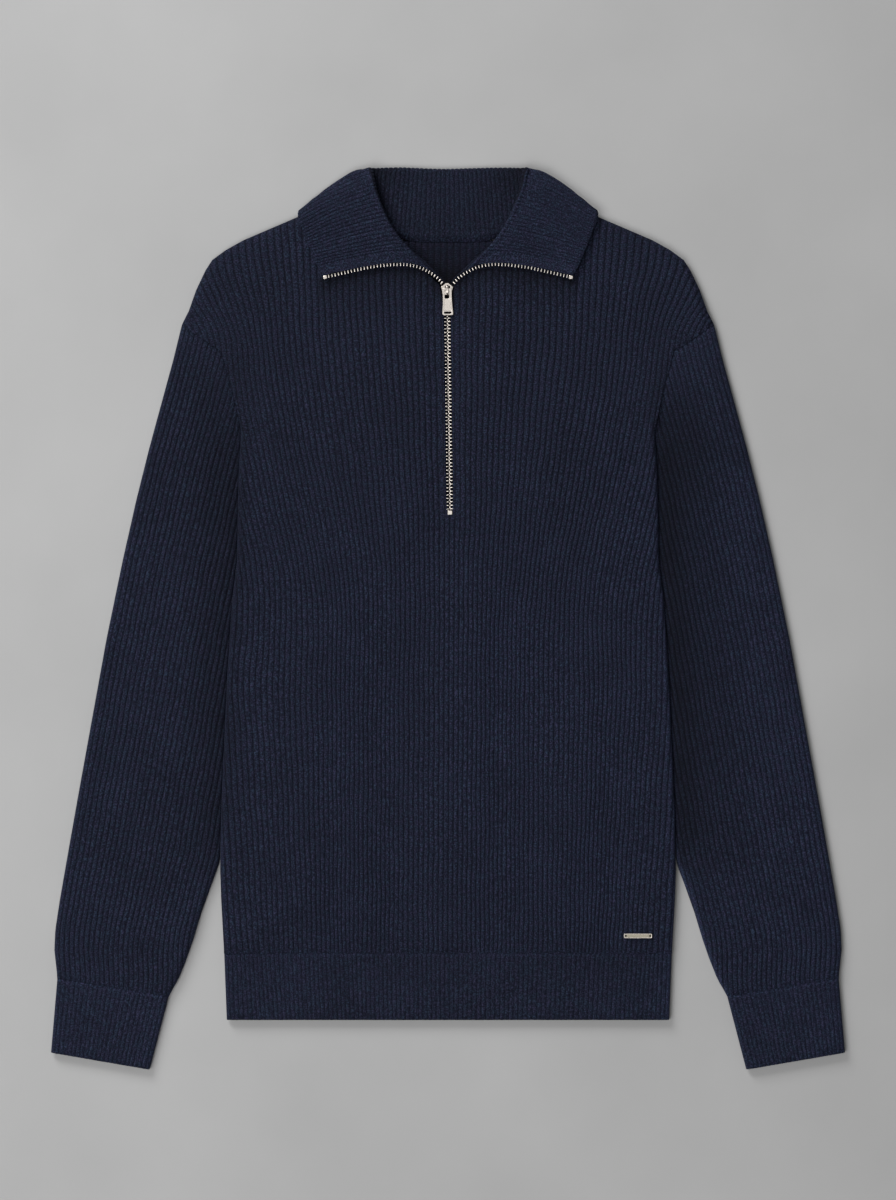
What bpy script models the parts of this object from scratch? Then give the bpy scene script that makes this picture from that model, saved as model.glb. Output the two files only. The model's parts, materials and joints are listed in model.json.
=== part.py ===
"""Quarter zip sweater: a rib-knitted pullover with a turned-down collar, laid flat on its back.

Every cloth piece is a wall with real thickness. Its outer face carries the ribs, its inner face is plain.
Tables are in millimetres, with x measured from the centre line, y up the garment and z above the surface.
"""

import math

import bmesh
import bpy
import numpy as np

MM = 0.001

# Knit
WALL = 2.4            # thickness of the knit between its ribs
RIB = 0.9             # height of a rib over the knit beside it
SEAM = 0.3            # gap between two pieces that are sewn together
CURL = 7.0            # distance over which a folded edge rounds down

# Body
HEM_SEAM = -284.1
FRONT_HEIGHT = 8.4    # top of the front, between its ribs
ZIP_HEIGHT = 7.5      # top of the front beside the zip, where it has no ribs
FRONT_EDGE = 4.2      # height of the front's outer edge at the side
BACK_TOP = 3.0
ARMPIT = (175.9, 160.5)

# Outline of the body from the hem seam to the neck point, with the pitch of its ribs
BODY_ROWS = [
    # y, half_width, rib_pitch
    (-284.1, 190.4, 4.04),
    (-239.0, 192.9, 4.16),
    (-213.5, 193.8, 4.20),
    (-161.7, 192.9, 4.20),
    (-48.6, 187.8, 4.20),
    (16.0, 183.6, 4.23),
    (50.0, 179.3, 4.31),
    (84.0, 178.9, 4.42),
    (125.0, 178.0, 4.66),
    (160.5, 175.9, 4.93),
    (186.0, 181.0, 5.14),
    (226.8, 192.1, 5.25),
    (249.7, 226.5, 5.42),
    (262.5, 220.2, 5.52),
    (279.5, 214.2, 5.60),
    (296.5, 206.1, 5.62),
    (305.0, 200.6, 5.63),
    (313.5, 189.1, 5.64),
    (322.0, 173.8, 5.65),
    (341.5, 128.3, 5.65),
    (357.7, 81.6, 5.65),
]
FRONT_ROWS = [-283.8, -161.7, -48.6, 50.0, 84.0, 88.3, 125.0, 160.5, 186.0, 226.8, 249.7, 266.0, 284.0,
              297.3, 305.0, 313.5, 322.0, 341.5, 357.7]
BACK_ROWS = [-283.8, -161.7, -48.6, 50.0, 125.0, 160.5, 186.0, 226.8, 249.7, 266.0, 284.0,
             297.3, 305.0, 313.5, 320.5, 322.3, 341.5, 357.7]
# Half width of the opening in the front: the slit for the zip, then the neckline
FRONT_OPENING = [
    # y, half_width
    (88.3, 2.9),
    (266.0, 2.9),
    (284.0, 6.6),
    (297.3, 20.5),
    (305.0, 31.5),
    (313.5, 43.0),
    (322.0, 53.0),
    (341.5, 72.0),
    (357.7, 81.6),
]
BACK_OPENING = [
    # y, half_width
    (322.3, 46.0),
    (331.0, 65.0),
    (346.0, 77.0),
    (357.7, 81.6),
]
SLIT_BOTTOM = 84.0
NECKLINE_BACK = 320.5
# The zip leans a little: x of its centre line
ZIP_LINE = [
    # y, x
    (-284.1, 0.0),
    (90.0, 1.7),
    (260.0, -0.5),
    (285.0, -0.9),
    (357.7, 0.0),
]
BODY_RIBS = 48        # on each side of the centre line
# Soft folds that run down the front, as troughs
FRONT_FOLDS = [
    # x_top, x_low, y_top, y_low, width, depth
    (-62.0, -56.0, 60.0, -284.0, 13.0, 0.9),
    (-104.0, -98.0, -60.0, -284.0, 11.0, 0.7),
    (44.0, 47.0, 40.0, -284.0, 12.0, 0.8),
    (132.0, 138.0, -10.0, -284.0, 12.0, 0.9),
    (-168.0, -60.0, 150.0, 40.0, 14.0, 0.7),
    (168.0, 60.0, 150.0, 40.0, 14.0, 0.7),
]

# Hem band
HEM_BOTTOM = -341.0
HEM_WIDTH_TOP = 190.4
HEM_WIDTH_LOW = 188.2
HEM_RIBS = 52         # on each side of the centre line
HEM_HEIGHT = 6.8

# Sleeves: the fold along the outside, and the edge beside the body
SLEEVE_OUTER = [
    # y, x
    (-305.3, 332.3),
    (-281.5, 334.9),
    (-264.5, 334.1),
    (-239.0, 330.2),
    (-205.0, 324.3),
    (-154.0, 315.3),
    (-86.0, 303.0),
    (-18.0, 290.7),
    (50.0, 276.7),
    (101.0, 265.2),
    (143.5, 254.6),
    (186.0, 243.1),
    (220.0, 233.8),
    (249.7, 226.5),
]
SLEEVE_INNER = [
    # y, x
    (-320.6, 237.5),
    (-307.0, 229.5),
    (-290.0, 222.7),
    (-273.0, 216.8),
    (-256.0, 211.7),
    (-239.0, 206.5),
    (-226.3, 201.4),
    (-213.5, 197.2),
    (-196.5, 195.1),
    (-161.7, 193.8),
    (-104.7, 191.2),
    (-48.6, 188.7),
    (16.0, 184.4),
    (50.0, 180.2),
    (116.3, 179.3),
    (160.5, 176.8),
]
# Dropped armhole, from the fold at the shoulder down to the armpit
ARMHOLE = [
    # x, y
    (226.5, 249.7),
    (192.1, 226.8),
    (181.0, 186.0),
    (175.9, 160.5),
]
# Rows across the sleeve: where each meets the outer fold and the inner edge, and how much of the
# armhole's bend it keeps
SLEEVE_ROWS = [
    # y_outer, y_inner, bend
    (249.7, 160.5, 1.00),
    (225.0, 136.0, 0.70),
    (190.0, 104.0, 0.40),
    (140.0, 60.0, 0.15),
    (60.0, 0.0, 0.0),
    (-40.0, -75.0, 0.0),
    (-130.0, -150.0, 0.0),
    (-192.0, -200.0, 0.0),
    (-225.0, -228.0, 0.0),
    (-262.0, -267.0, 0.0),
    (-287.0, -298.0, 0.0),
    (-305.0, -320.3, 0.0),
]
SLEEVE_RIBS = 30
SLEEVE_PITCH = [
    # y, rib_pitch
    (-320.6, 4.05),
    (-250.0, 4.35),
    (-200.0, 4.50),
    (250.0, 4.50),
]
SLEEVE_HEIGHT = 7.6
SLEEVE_DIP = 2.2       # how far the sleeve sinks beside the body
SLEEVE_DIP_WIDTH = 38.0
OUTER_EDGE = 3.8       # height of a tube's edge, where its top turns under
INNER_EDGE = 2.8

# Cuffs: the seam and the open end, each from the outside to the inside
CUFF_SEAM = ((332.3, -305.6), (237.5, -320.9))
CUFF_END = ((337.7, -368.8), (253.7, -383.2))
CUFF_RIBS = 24
CUFF_HEIGHT = 6.9

# Collar, from the zip's edge round to the centre back: the neck seam, the fold at the top, two points on
# the fall and the free edge. The roll turns from facing the neck (0) over the top (90) to the back (180).
COLLAR_SECTIONS = [
    # u, seam, fold, roll angle,
    # near on the fall, far on the fall, free edge
    (0.00, (4.6, 288.0, 9.6), (19.4, 299.4, 12.0), 80.0,
     (51.0, 302.6, 12.3), (78.6, 298.2, 12.2), (106.6, 291.6, 11.8)),
    (0.15, (18.6, 300.6, 8.2), (33.1, 312.0, 14.2), 55.0,
     (56.0, 310.8, 13.2), (83.5, 305.6, 12.0), (110.8, 299.2, 11.7)),
    (0.30, (38.0, 314.6, 8.2), (48.4, 331.0, 16.4), 50.0,
     (70.0, 327.5, 14.4), (94.0, 321.2, 12.4), (117.0, 314.0, 11.6)),
    (0.42, (53.6, 332.6, 8.3), (58.8, 352.4, 17.0), 65.0,
     (79.5, 347.5, 14.8), (101.5, 339.6, 12.4), (122.6, 329.0, 11.5)),
    (0.51, (71.0, 352.0, 8.0), (64.6, 369.0, 16.0), 85.0,
     (84.5, 362.6, 13.8), (106.0, 353.0, 11.6), (127.0, 341.4, 10.4)),
    (0.55, (72.4, 352.0, 6.0), (65.8, 375.6, 14.2), 98.0,
     (88.0, 367.4, 11.8), (112.0, 355.6, 9.0), (125.4, 346.6, 6.6)),
    (0.59, (70.0, 347.6, 4.9), (67.2, 379.8, 12.2), 112.0,
     (85.6, 374.0, 9.8), (109.0, 359.6, 5.8), (115.0, 352.8, 2.8)),
    (0.66, (64.0, 338.6, 4.6), (67.0, 381.8, 8.2), 135.0,
     (78.0, 379.4, 5.8), (91.6, 371.2, 3.0), (95.0, 362.4, 1.6)),
    (0.73, (56.0, 330.6, 4.6), (58.0, 381.6, 5.0), 160.0,
     (62.5, 378.2, 1.9), (65.5, 373.4, 1.5), (66.5, 366.2, 1.5)),
    (0.82, (41.4, 323.4, 4.7), (40.0, 381.4, 3.5), 178.0,
     (41.5, 374.6, 1.5), (44.0, 362.0, 1.5), (47.0, 349.0, 1.5)),
    (1.00, (0.0, 320.6, 4.8), (0.0, 380.2, 3.4), 180.0,
     (0.0, 373.4, 1.5), (0.0, 354.0, 1.5), (0.0, 333.0, 1.5)),
]
COLLAR_RIBS = 92
COLLAR_WALL = 2.3
COLLAR_RIB = 0.7
ROLL_RADIUS = 1.75
BULGE = 0.4            # how far the fall rounds up beside its roll
PLAIN_EDGE = 0.035     # share of the collar beside the zip that has no ribs
TIGHT_TURN = (0.42, 0.70)   # share where the stand turns back at the neck point, hidden under the fall
ZIP_EDGE_SHARE = 0.10  # share over which the collar flattens to its front edge
ZIP_EDGE_PLACES = [0.0, 0.05, 0.103, 0.16, 0.22, 0.326, 0.466, 0.73, 1.0]

# Zip
CHAIN_WIDTH = 5.1
CHAIN_BOTTOM = 92.6
CHAIN_TOP = 273.7
CHAIN_Z = (4.4, 7.9)
TAPE_WIDTH = 9.0
TAPE_Z = (4.05, 4.75)
TAPE_Y = (84.0, 266.0)
STOP_SIZE = (4.3, 3.8, 4.0)
STOP_Y = 90.2
ROW_SIZE = (2.6, 2.2)   # width and height of one open row of teeth
# Middle of the open row on the right, from the slider to its top stop
ZIP_ROW = [
    # x, y, z
    (5.5, 285.4, 9.7),
    (13.8, 292.5, 10.8),
    (24.8, 298.0, 11.5),
    (35.9, 300.2, 11.9),
    (50.7, 299.9, 12.1),
    (69.1, 297.5, 12.0),
    (87.5, 293.4, 11.8),
    (102.4, 290.1, 11.7),
    (106.0, 289.3, 11.7),
]
SLIDER_Y = (274.2, 285.0)
SLIDER_WIDTH = (8.6, 10.2)
SLIDER_Z = (3.7, 8.0)
ARCH_WIDTH = 2.0
TAB_AXIS_Y = 280.0
TAB_AXIS_Z = 9.1
TAB_THICKNESS = 1.2
TAB_LENGTH = 22.3
TAB_WIDTH = (7.6, 9.4)  # at the eye and at the free end
EYE_SIZE = (3.0, 4.4)   # width and length of the eye that the arch passes through

# Metal bar near the hem
BAR_CENTRE = (161.2, -269.0)
BAR_SIZE = (24.2, 4.6, 1.1)

NAVY = (0.016, 0.020, 0.045)
NAVY_DEEP = (0.013, 0.016, 0.036)
TAPE_NAVY = (0.010, 0.012, 0.028)
NICKEL = (0.72, 0.69, 0.64)


def clear_scene():
    """Remove every object of the scene."""
    for item in list(bpy.data.objects):
        bpy.data.objects.remove(item, do_unlink=True)


def material(name, colour, roughness, metallic=0.0):
    """Make a Principled material of one colour."""
    made = bpy.data.materials.new(name)
    made.use_nodes = True
    shader = made.node_tree.nodes["Principled BSDF"]
    shader.inputs["Base Color"].default_value = (*colour, 1.0)
    shader.inputs["Roughness"].default_value = roughness
    shader.inputs["Metallic"].default_value = metallic
    made.diffuse_color = (*colour, 1.0)
    return made


def column(rows, index):
    """Return one column of a table."""
    return [row[index] for row in rows]


def lookup(rows, value, index=1):
    """Read a table between its rows."""
    return float(np.interp(value, column(rows, 0), column(rows, index)))


def distance(x, y, path):
    """Distance in the plane from a point to a path."""
    best = 1e9
    for (ax, ay), (bx, by) in zip(path[:-1], path[1:]):
        length = (bx - ax) ** 2 + (by - ay) ** 2
        t = min(1.0, max(0.0, ((x - ax) * (bx - ax) + (y - ay) * (by - ay)) / length))
        best = min(best, math.hypot(x - ax - t * (bx - ax), y - ay - t * (by - ay)))
    return best


def rounded(depth, radius):
    """Height, from 0 to 1, of a quarter round at a distance from its edge."""
    t = min(1.0, max(0.0, depth / radius))
    return math.sqrt(1.0 - (1.0 - t) ** 2)


def ease(t):
    """Smooth step from 0 to 1."""
    t = min(1.0, max(0.0, t))
    return t * t * (3.0 - 2.0 * t)


class Wall:
    """A closed mesh of quads and triangles, whose equal points are joined."""

    def __init__(self):
        self.points = []
        self.index = {}
        self.faces = []

    def point(self, xyz):
        """Add a point, or find the one that is there."""
        key = tuple(round(value, 4) for value in xyz)
        if key not in self.index:
            self.index[key] = len(self.points)
            self.points.append(key)
        return self.index[key]

    def face(self, *corners):
        """Add a face, leaving out repeated corners."""
        kept = []
        for corner in corners:
            if corner not in kept:
                kept.append(corner)
        if len(kept) >= 3:
            self.faces.append(kept)

    def grid(self, rows, closed=False, flip=False):
        """Join rows of points into a surface; closed joins each row's ends."""
        ids = [[self.point(p) for p in row] for row in rows]
        for low, high in zip(ids[:-1], ids[1:]):
            count = len(low)
            for i in range(count if closed else count - 1):
                j = (i + 1) % count
                corners = (low[i], low[j], high[j], high[i])
                self.face(*(reversed(corners) if flip else corners))
        return ids

    def stitch(self, first, second, flip=False):
        """Fill the strip between two runs of points that may differ in number."""
        a, b = [unrepeated(run) for run in (first, second)]
        if len(a) < 2 and len(b) < 2:
            return
        a_at, b_at = [self.shares(run) for run in (a, b)]
        i = j = 0
        while i < len(a) - 1 or j < len(b) - 1:
            step_a = j == len(b) - 1 or (i < len(a) - 1 and a_at[i + 1] <= b_at[j + 1])
            if step_a:
                corners = (a[i], a[i + 1], b[j])
                i += 1
            else:
                corners = (a[i], b[j + 1], b[j])
                j += 1
            self.face(*(reversed(corners) if flip else corners))

    def shares(self, run):
        """How far along a run each point lies, from 0 to 1."""
        steps = [math.dist(self.points[p], self.points[q]) for p, q in zip(run[:-1], run[1:])]
        total = sum(steps) or 1.0
        return [0.0] + [float(s) / total for s in np.cumsum(steps)]

    def make(self, name, finish, smooth=True):
        """Build the object of this wall."""
        mesh = bpy.data.meshes.new(name)
        mesh.from_pydata([[value * MM for value in p] for p in self.points], [], self.faces)
        mesh.materials.append(finish)
        outward = bmesh.new()
        outward.from_mesh(mesh)
        bmesh.ops.recalc_face_normals(outward, faces=outward.faces)
        outward.to_mesh(mesh)
        outward.free()
        made = bpy.data.objects.new(name, mesh)
        bpy.context.scene.collection.objects.link(made)
        if smooth:
            mesh.shade_smooth()
            mesh.set_sharp_from_angle(angle=math.radians(20))
        return made


def unrepeated(run):
    """Drop the points of a run that repeat the one before."""
    return [p for i, p in enumerate(run) if i == 0 or p != run[i - 1]]


SHOULDER = [(row[1], row[0]) for row in BODY_ROWS if row[0] >= ARMHOLE[0][1]]
SIDE = [(row[1], row[0]) for row in BODY_ROWS if row[0] <= ARMPIT[1]]


def fold_depth(x, y):
    """Depth of the front's soft folds at a point."""
    depth = 0.0
    for x_top, x_low, y_top, y_low, width, fold in FRONT_FOLDS:
        along = (y_top - y) / (y_top - y_low)
        if 0.0 < along < 1.0:
            middle = x_top + (x_low - x_top) * along
            fade = ease(along * 4.0) * (1.0 if y_low < HEM_SEAM + 1.0 else ease((1.0 - along) * 4.0))
            depth += fold * fade * math.exp(-((x - middle) / width) ** 2)
    return depth


def front_top(x, y, radius=CURL, edge=FRONT_EDGE, drop=0.0):
    """Height of the front between its ribs; drop lowers it to the inner face."""
    from_zip = abs(x - lookup(ZIP_LINE, y))
    zip_share = (1.0 - ease((from_zip - 5.0) / 22.0)) * ease((y - SLIT_BOTTOM + 45.0) / 45.0)
    side = distance(abs(x), y, SIDE)
    full = FRONT_HEIGHT + 0.5 * math.exp(-(side / 40.0) ** 2) - fold_depth(x, y) - drop
    full += zip_share * (ZIP_HEIGHT - FRONT_HEIGHT)
    curl = min(rounded(side, radius), rounded(distance(abs(x), y, SHOULDER), radius))
    return edge + (full - edge) * curl


def edge_inset(y):
    """How far the front's inner face stays inside its outline."""
    if y > ARMHOLE[0][1] - 0.1:
        return 3.0
    return 1.5 if y < ARMPIT[1] + 0.1 else 0.0


def half_row(side, y, columns, opening, bottom, pitch, inset=0.0):
    """Points (x, on the edge or not) of one half row, from the centre to the side."""
    outer = max(0.0, lookup(BODY_ROWS, y) - inset)
    inner = lookup(opening, y) if y > bottom else 0.0
    inner = min(inner, outer)
    middle = lookup(ZIP_LINE, y)
    places = []
    for k in columns:
        reach = k * pitch
        x = min(max(reach, inner), outer)
        if k == columns[-1]:
            x = outer
        lean = middle * (1.0 - x / outer) if outer > 0.0 else 0.0
        places.append((side * x + lean, inner < reach < outer and k != columns[-1]))
    return places


def front_panel(finish):
    """The front: one ribbed wall with a slit for the zip."""
    wall = Wall()
    ribbed = [k / 2.0 for k in range(2 * BODY_RIBS + 1)]
    plain = [4.0 * k for k in range(BODY_RIBS // 4 + 1)]
    for side in (-1, 1):
        outer_rows, inner_rows = [], []
        for y in FRONT_ROWS:
            pitch = lookup(BODY_ROWS, y, 2)
            row = []
            for k, (x, free) in zip(ribbed, half_row(side, y, ribbed, FRONT_OPENING, SLIT_BOTTOM, pitch)):
                crest = RIB if free and k % 1.0 == 0.5 else 0.0
                if y > SLIT_BOTTOM:
                    crest *= ease((abs(x - lookup(ZIP_LINE, y)) - 5.0) / 4.0)
                row.append((x, y, front_top(x, y) + crest))
            outer_rows.append(row)
            row = []
            for x, _ in half_row(side, y, plain, FRONT_OPENING, SLIT_BOTTOM, pitch, edge_inset(y)):
                row.append((x, y, front_top(x, y, CURL + 1.0, BACK_TOP + SEAM, WALL)))
            inner_rows.append(row)
        close_panel(wall, outer_rows, inner_rows, side, FRONT_ROWS, SLIT_BOTTOM)
    return wall.make("front_panel", finish)


def close_panel(wall, outer_rows, inner_rows, side, heights, bottom):
    """Join a half panel's outer and inner faces round its border."""
    flip = side < 0
    outer = wall.grid(outer_rows, flip=flip)
    inner = wall.grid(inner_rows, flip=not flip)
    wall.stitch(outer[0], inner[0], flip=not flip)
    wall.stitch(column(outer, -1), column(inner, -1), flip=not flip)
    start = heights.index(bottom)
    wall.stitch(column(outer, 0)[start:], column(inner, 0)[start:], flip=flip)
    wall.stitch(outer[-1], inner[-1], flip=flip)


def back_panel(finish):
    """The back: a plain wall that lies flat on the surface."""
    wall = Wall()
    plain = [6.0 * k for k in range(BODY_RIBS // 6 + 1)]
    for side in (-1, 1):
        top_rows, low_rows = [], []
        for y in BACK_ROWS:
            pitch = lookup(BODY_ROWS, y, 2)
            places = half_row(side, y, plain, BACK_OPENING, NECKLINE_BACK, pitch)
            top_rows.append([(x, y, BACK_TOP) for x, _ in places])
            places = half_row(side, y, plain, BACK_OPENING, NECKLINE_BACK, pitch, 0.5 * edge_inset(y))
            low_rows.append([(x, y, 0.0) for x, _ in places])
        close_panel(wall, top_rows, low_rows, side, BACK_ROWS, NECKLINE_BACK)
    return wall.make("back_panel", finish)


def along(path, share):
    """Point at a share of a path's length."""
    steps = [math.dist(p, q) for p, q in zip(path[:-1], path[1:])]
    marks = np.concatenate([[0.0], np.cumsum(steps)]) / sum(steps)
    return tuple(float(np.interp(share, marks, column(path, i))) for i in range(len(path[0])))


def offset_path(path, gap):
    """Shift a path in the plane to its left."""
    shifted = []
    for i, point in enumerate(path):
        before, after = path[max(0, i - 1)], path[min(len(path) - 1, i + 1)]
        dx, dy = after[0] - before[0], after[1] - before[1]
        length = math.hypot(dx, dy)
        shifted.append((point[0] - gap * dy / length, point[1] + gap * dx / length))
    return shifted


def sleeve_top(x, y, drop=0.0, radius=CURL, edges=(OUTER_EDGE, INNER_EDGE)):
    """Height of a sleeve between its ribs; drop lowers it to the inner face."""
    out = distance(x, y, [(row[1], row[0]) for row in SLEEVE_OUTER])
    inside = distance(x, y, [(row[1], row[0]) for row in SLEEVE_INNER])
    beside = ease((y + 235.0) / 60.0)
    dip = SLEEVE_DIP * beside * (1.0 - ease(inside / SLEEVE_DIP_WIDTH))
    full = SLEEVE_HEIGHT - dip - drop
    if out < inside:
        return edges[0] + (full - edges[0]) * rounded(out, radius)
    return edges[1] + (full - edges[1]) * rounded(inside, 0.6 * radius)


def sleeve_line(y_outer, y_inner, bend, count=60):
    """Points across the sleeve, from the outer fold to the inner edge."""
    start = (lookup(SLEEVE_OUTER, y_outer), y_outer)
    end = (lookup(SLEEVE_INNER, y_inner), y_inner)
    seam = offset_path(ARMHOLE, SEAM + 0.1)
    seam_start, seam_end = seam[0], seam[-1]
    line = []
    for i in range(count + 1):
        t = i / count
        sx, sy = along(seam, t)
        bend_x = sx - (seam_start[0] + (seam_end[0] - seam_start[0]) * t)
        bend_y = sy - (seam_start[1] + (seam_end[1] - seam_start[1]) * t)
        if bend == 1.0:
            line.append((sx, sy))
            continue
        x = start[0] + (end[0] - start[0]) * t + bend * bend_x
        y = start[1] + (end[1] - start[1]) * t + bend * bend_y
        line.append((x, y))
    return line


def rib_places(line, count):
    """Points of a line across the sleeve at each half rib, counted from the outer fold."""
    ribs = [(lookup(SLEEVE_OUTER, y) - x) / lookup(SLEEVE_PITCH, y) for x, y in line]
    ribs = list(np.maximum.accumulate(ribs))
    ribs[0] = 0.0
    places = []
    for k in range(2 * count + 1):
        wanted = k / 2.0
        free = 0.0 < wanted < ribs[-1] and k < 2 * count
        wanted = ribs[-1] if k == 2 * count else min(wanted, ribs[-1])
        point = tuple(float(np.interp(wanted, ribs, column(line, i))) for i in (0, 1))
        places.append((point, free and k % 2 == 1))
    return places


def inset_point(start, end, inset):
    """Point on a chord at a distance from its start."""
    share = inset / math.dist(start, end)
    return tuple(a + (b - a) * share for a, b in zip(start, end))


def tube(name, stations, finish):
    """A flattened tube from pairs of rings (outer, inner)."""
    wall = Wall()
    outer = wall.grid([station[0] for station in stations], closed=True)
    inner = wall.grid([station[1] for station in stations], closed=True, flip=True)
    for k, flip in ((0, True), (-1, False)):
        wall.stitch(outer[k] + outer[k][:1], inner[k] + inner[k][:1], flip=flip)
    return wall.make(name, finish)


def underside(start, end, z=0.0, insets=(0.8, 2.8), low=1.0):
    """Points along the bottom of a ring, from its end back to its start."""
    points = []
    for first, second, order in ((end, start, insets), (start, end, insets[::-1])):
        for inset in order:
            x, y = inset_point(first, second, inset)
            points.append((x, y, low if inset == insets[0] else z))
    return points


def lining_ring(line, top, edges, count=8):
    """Inner ring of a flattened tube."""
    start, end = line[0], line[-1]
    first = inset_point(start, end, WALL)
    last = inset_point(end, start, WALL)
    ring = [(*first, edges[0])]
    for i in range(1, count):
        x, y = along(line, i / count)
        ring.append((x, y, top(x, y)))
    ring.append((*last, edges[1]))
    for first, second in ((end, start), (start, end)):
        ring.append((*inset_point(first, second, 2.0 * WALL), WALL - 0.1))
    return ring


def mirrored(ring, side):
    """Ring on the chosen side, its points in the same turning sense."""
    if side > 0:
        return ring
    return [(-x, y, z) for x, y, z in reversed(ring)]


def sleeve(name, side, finish):
    """A sleeve: a flattened ribbed tube from the armhole to the cuff."""
    stations = []
    for y_outer, y_inner, bend in SLEEVE_ROWS:
        line = sleeve_line(y_outer, y_inner, bend)
        outer = []
        for (x, y), crest in rib_places(line, SLEEVE_RIBS):
            outer.append((x, y, sleeve_top(x, y) + (RIB if crest else 0.0)))
        outer += underside(line[0], line[-1])
        inner = lining_ring(line, lambda x, y: sleeve_top(x, y, WALL), (OUTER_EDGE, INNER_EDGE))
        stations.append((mirrored(outer, side), mirrored(inner, side)))
    return tube(name, stations, finish)


def band_top(start, end, point, height):
    """Height of a narrow band across its width."""
    near = min(math.dist(start, point), math.dist(end, point))
    return OUTER_EDGE + (height - OUTER_EDGE) * rounded(near, 0.8 * CURL)


def band_station(start, end, ribs, height, depth=0.0):
    """Outer and inner ring of a ribbed band whose ribs run along it."""
    outer = []
    for k in range(2 * ribs + 1):
        point = inset_point(start, end, math.dist(start, end) * k / (2 * ribs))
        crest = RIB * 0.8 if k % 2 == 1 else 0.0
        outer.append((*point, band_top(start, end, point, height - depth) + crest))
    outer += underside(start, end)
    inner = lining_ring([start, end], lambda x, y: band_top(start, end, (x, y), height - depth) - WALL,
                        (OUTER_EDGE, OUTER_EDGE))
    return outer, inner


def cuff(name, side, finish):
    """A cuff: a short ribbed tube that narrows to the wrist."""
    stations = []
    for share, depth in ((0.0, 0.3), (0.25, 0.0), (1.0, 0.2)):
        start, end = [tuple(a + (b - a) * share for a, b in zip(CUFF_SEAM[i], CUFF_END[i])) for i in (0, 1)]
        outer, inner = band_station(start, end, CUFF_RIBS, CUFF_HEIGHT, depth)
        stations.append((mirrored(outer, side), mirrored(inner, side)))
    return tube(name, stations, finish)


def hem_band(finish):
    """The hem: a wide ribbed band, all round."""
    stations = []
    for share, depth in ((0.0, 0.3), (0.25, 0.0), (1.0, 0.2)):
        y = HEM_SEAM - SEAM + (HEM_BOTTOM - HEM_SEAM + SEAM) * share
        half = HEM_WIDTH_TOP + (HEM_WIDTH_LOW - HEM_WIDTH_TOP) * share
        stations.append(band_station((half, y), (-half, y), 2 * HEM_RIBS, HEM_HEIGHT, depth))
    return tube("hem_band", stations, finish)


def zip_edge():
    """The collar's front edge on the right, beside the open row of teeth."""
    path = offset_path([(x, y) for x, y, _ in ZIP_ROW], ROW_SIZE[0] / 2 + SEAM + 0.9)
    lifted = [(x, y, z) for (x, y), (_, _, z) in zip(path, ZIP_ROW)]
    return [np.array(along(lifted, share)) for share in ZIP_EDGE_PLACES]


ZIP_EDGE = zip_edge()


def collar_value(u, index):
    """A column of the collar's table, read smoothly between its rows."""
    us = column(COLLAR_SECTIONS, 0)
    values = np.array(column(COLLAR_SECTIONS, index), dtype=float)
    if values.ndim == 1:
        values = values[:, None]
    slopes = np.gradient(values, us, axis=0)
    if index != 0:
        slopes[-1] = (0.0, *slopes[-1][1:]) if values.shape[1] == 1 else (slopes[-1][0], 0.0, 0.0)
    i = min(len(us) - 2, max(0, int(np.searchsorted(us, u, side="right")) - 1))
    h = us[i + 1] - us[i]
    t = (u - us[i]) / h
    blend = (2 * t**3 - 3 * t**2 + 1, (t**3 - 2 * t**2 + t) * h, 3 * t**2 - 2 * t**3, (t**3 - t**2) * h)
    return blend[0] * values[i] + blend[1] * slopes[i] + blend[2] * values[i + 1] + blend[3] * slopes[i + 1]


def collar_section(q):
    """Middle line of the collar at q, from -1 (left zip edge) by 0 (centre back) to 1 (right zip edge)."""
    u = 1.0 - abs(q)
    seam, fold, near, fall, edge = [collar_value(u, i) for i in (1, 2, 4, 5, 6)]
    angle = math.radians(float(collar_value(u, 3)[0]))
    inward = seam - fall
    inward[2] = 0.0
    turned = ease((u - 0.6) / 0.2)
    inward = inward * (1.0 - turned) + np.array((0.0, -30.0, 0.0)) * turned
    inward = inward / np.linalg.norm(inward)
    up = np.array((0.0, 0.0, 1.0))
    out = math.cos(angle) * inward + math.sin(angle) * up
    turn = -math.sin(angle) * inward + math.cos(angle) * up
    before = fold - ROLL_RADIUS * out - ROLL_RADIUS * turn
    after = fold - ROLL_RADIUS * out + ROLL_RADIUS * turn
    rise = 0.5 * (seam + before) + np.array((0.0, 0.0, 0.6))
    points = [seam, rise, before, fold, after, 0.5 * (after + near) + BULGE * up, near, fall, edge]
    straight = ease(u / ZIP_EDGE_SHARE)
    points = [straight * p + (1.0 - straight) * e for p, e in zip(points, ZIP_EDGE)]
    side = -1.0 if q < 0 else 1.0
    return [np.array((side * p[0], p[1], p[2])) for p in points]


def collar_sheet(columns):
    """Middle surface of the collar and its directions, for each column."""
    sheet = np.array([collar_section(q) for q in columns])
    across = np.gradient(sheet, axis=0)
    down = np.gradient(sheet, axis=1)
    normal = np.cross(across, down)
    normal /= np.linalg.norm(normal, axis=2, keepdims=True)
    normal[[0, -1]] = (0.0, 0.0, 1.0)
    return sheet, normal, across, down


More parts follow.
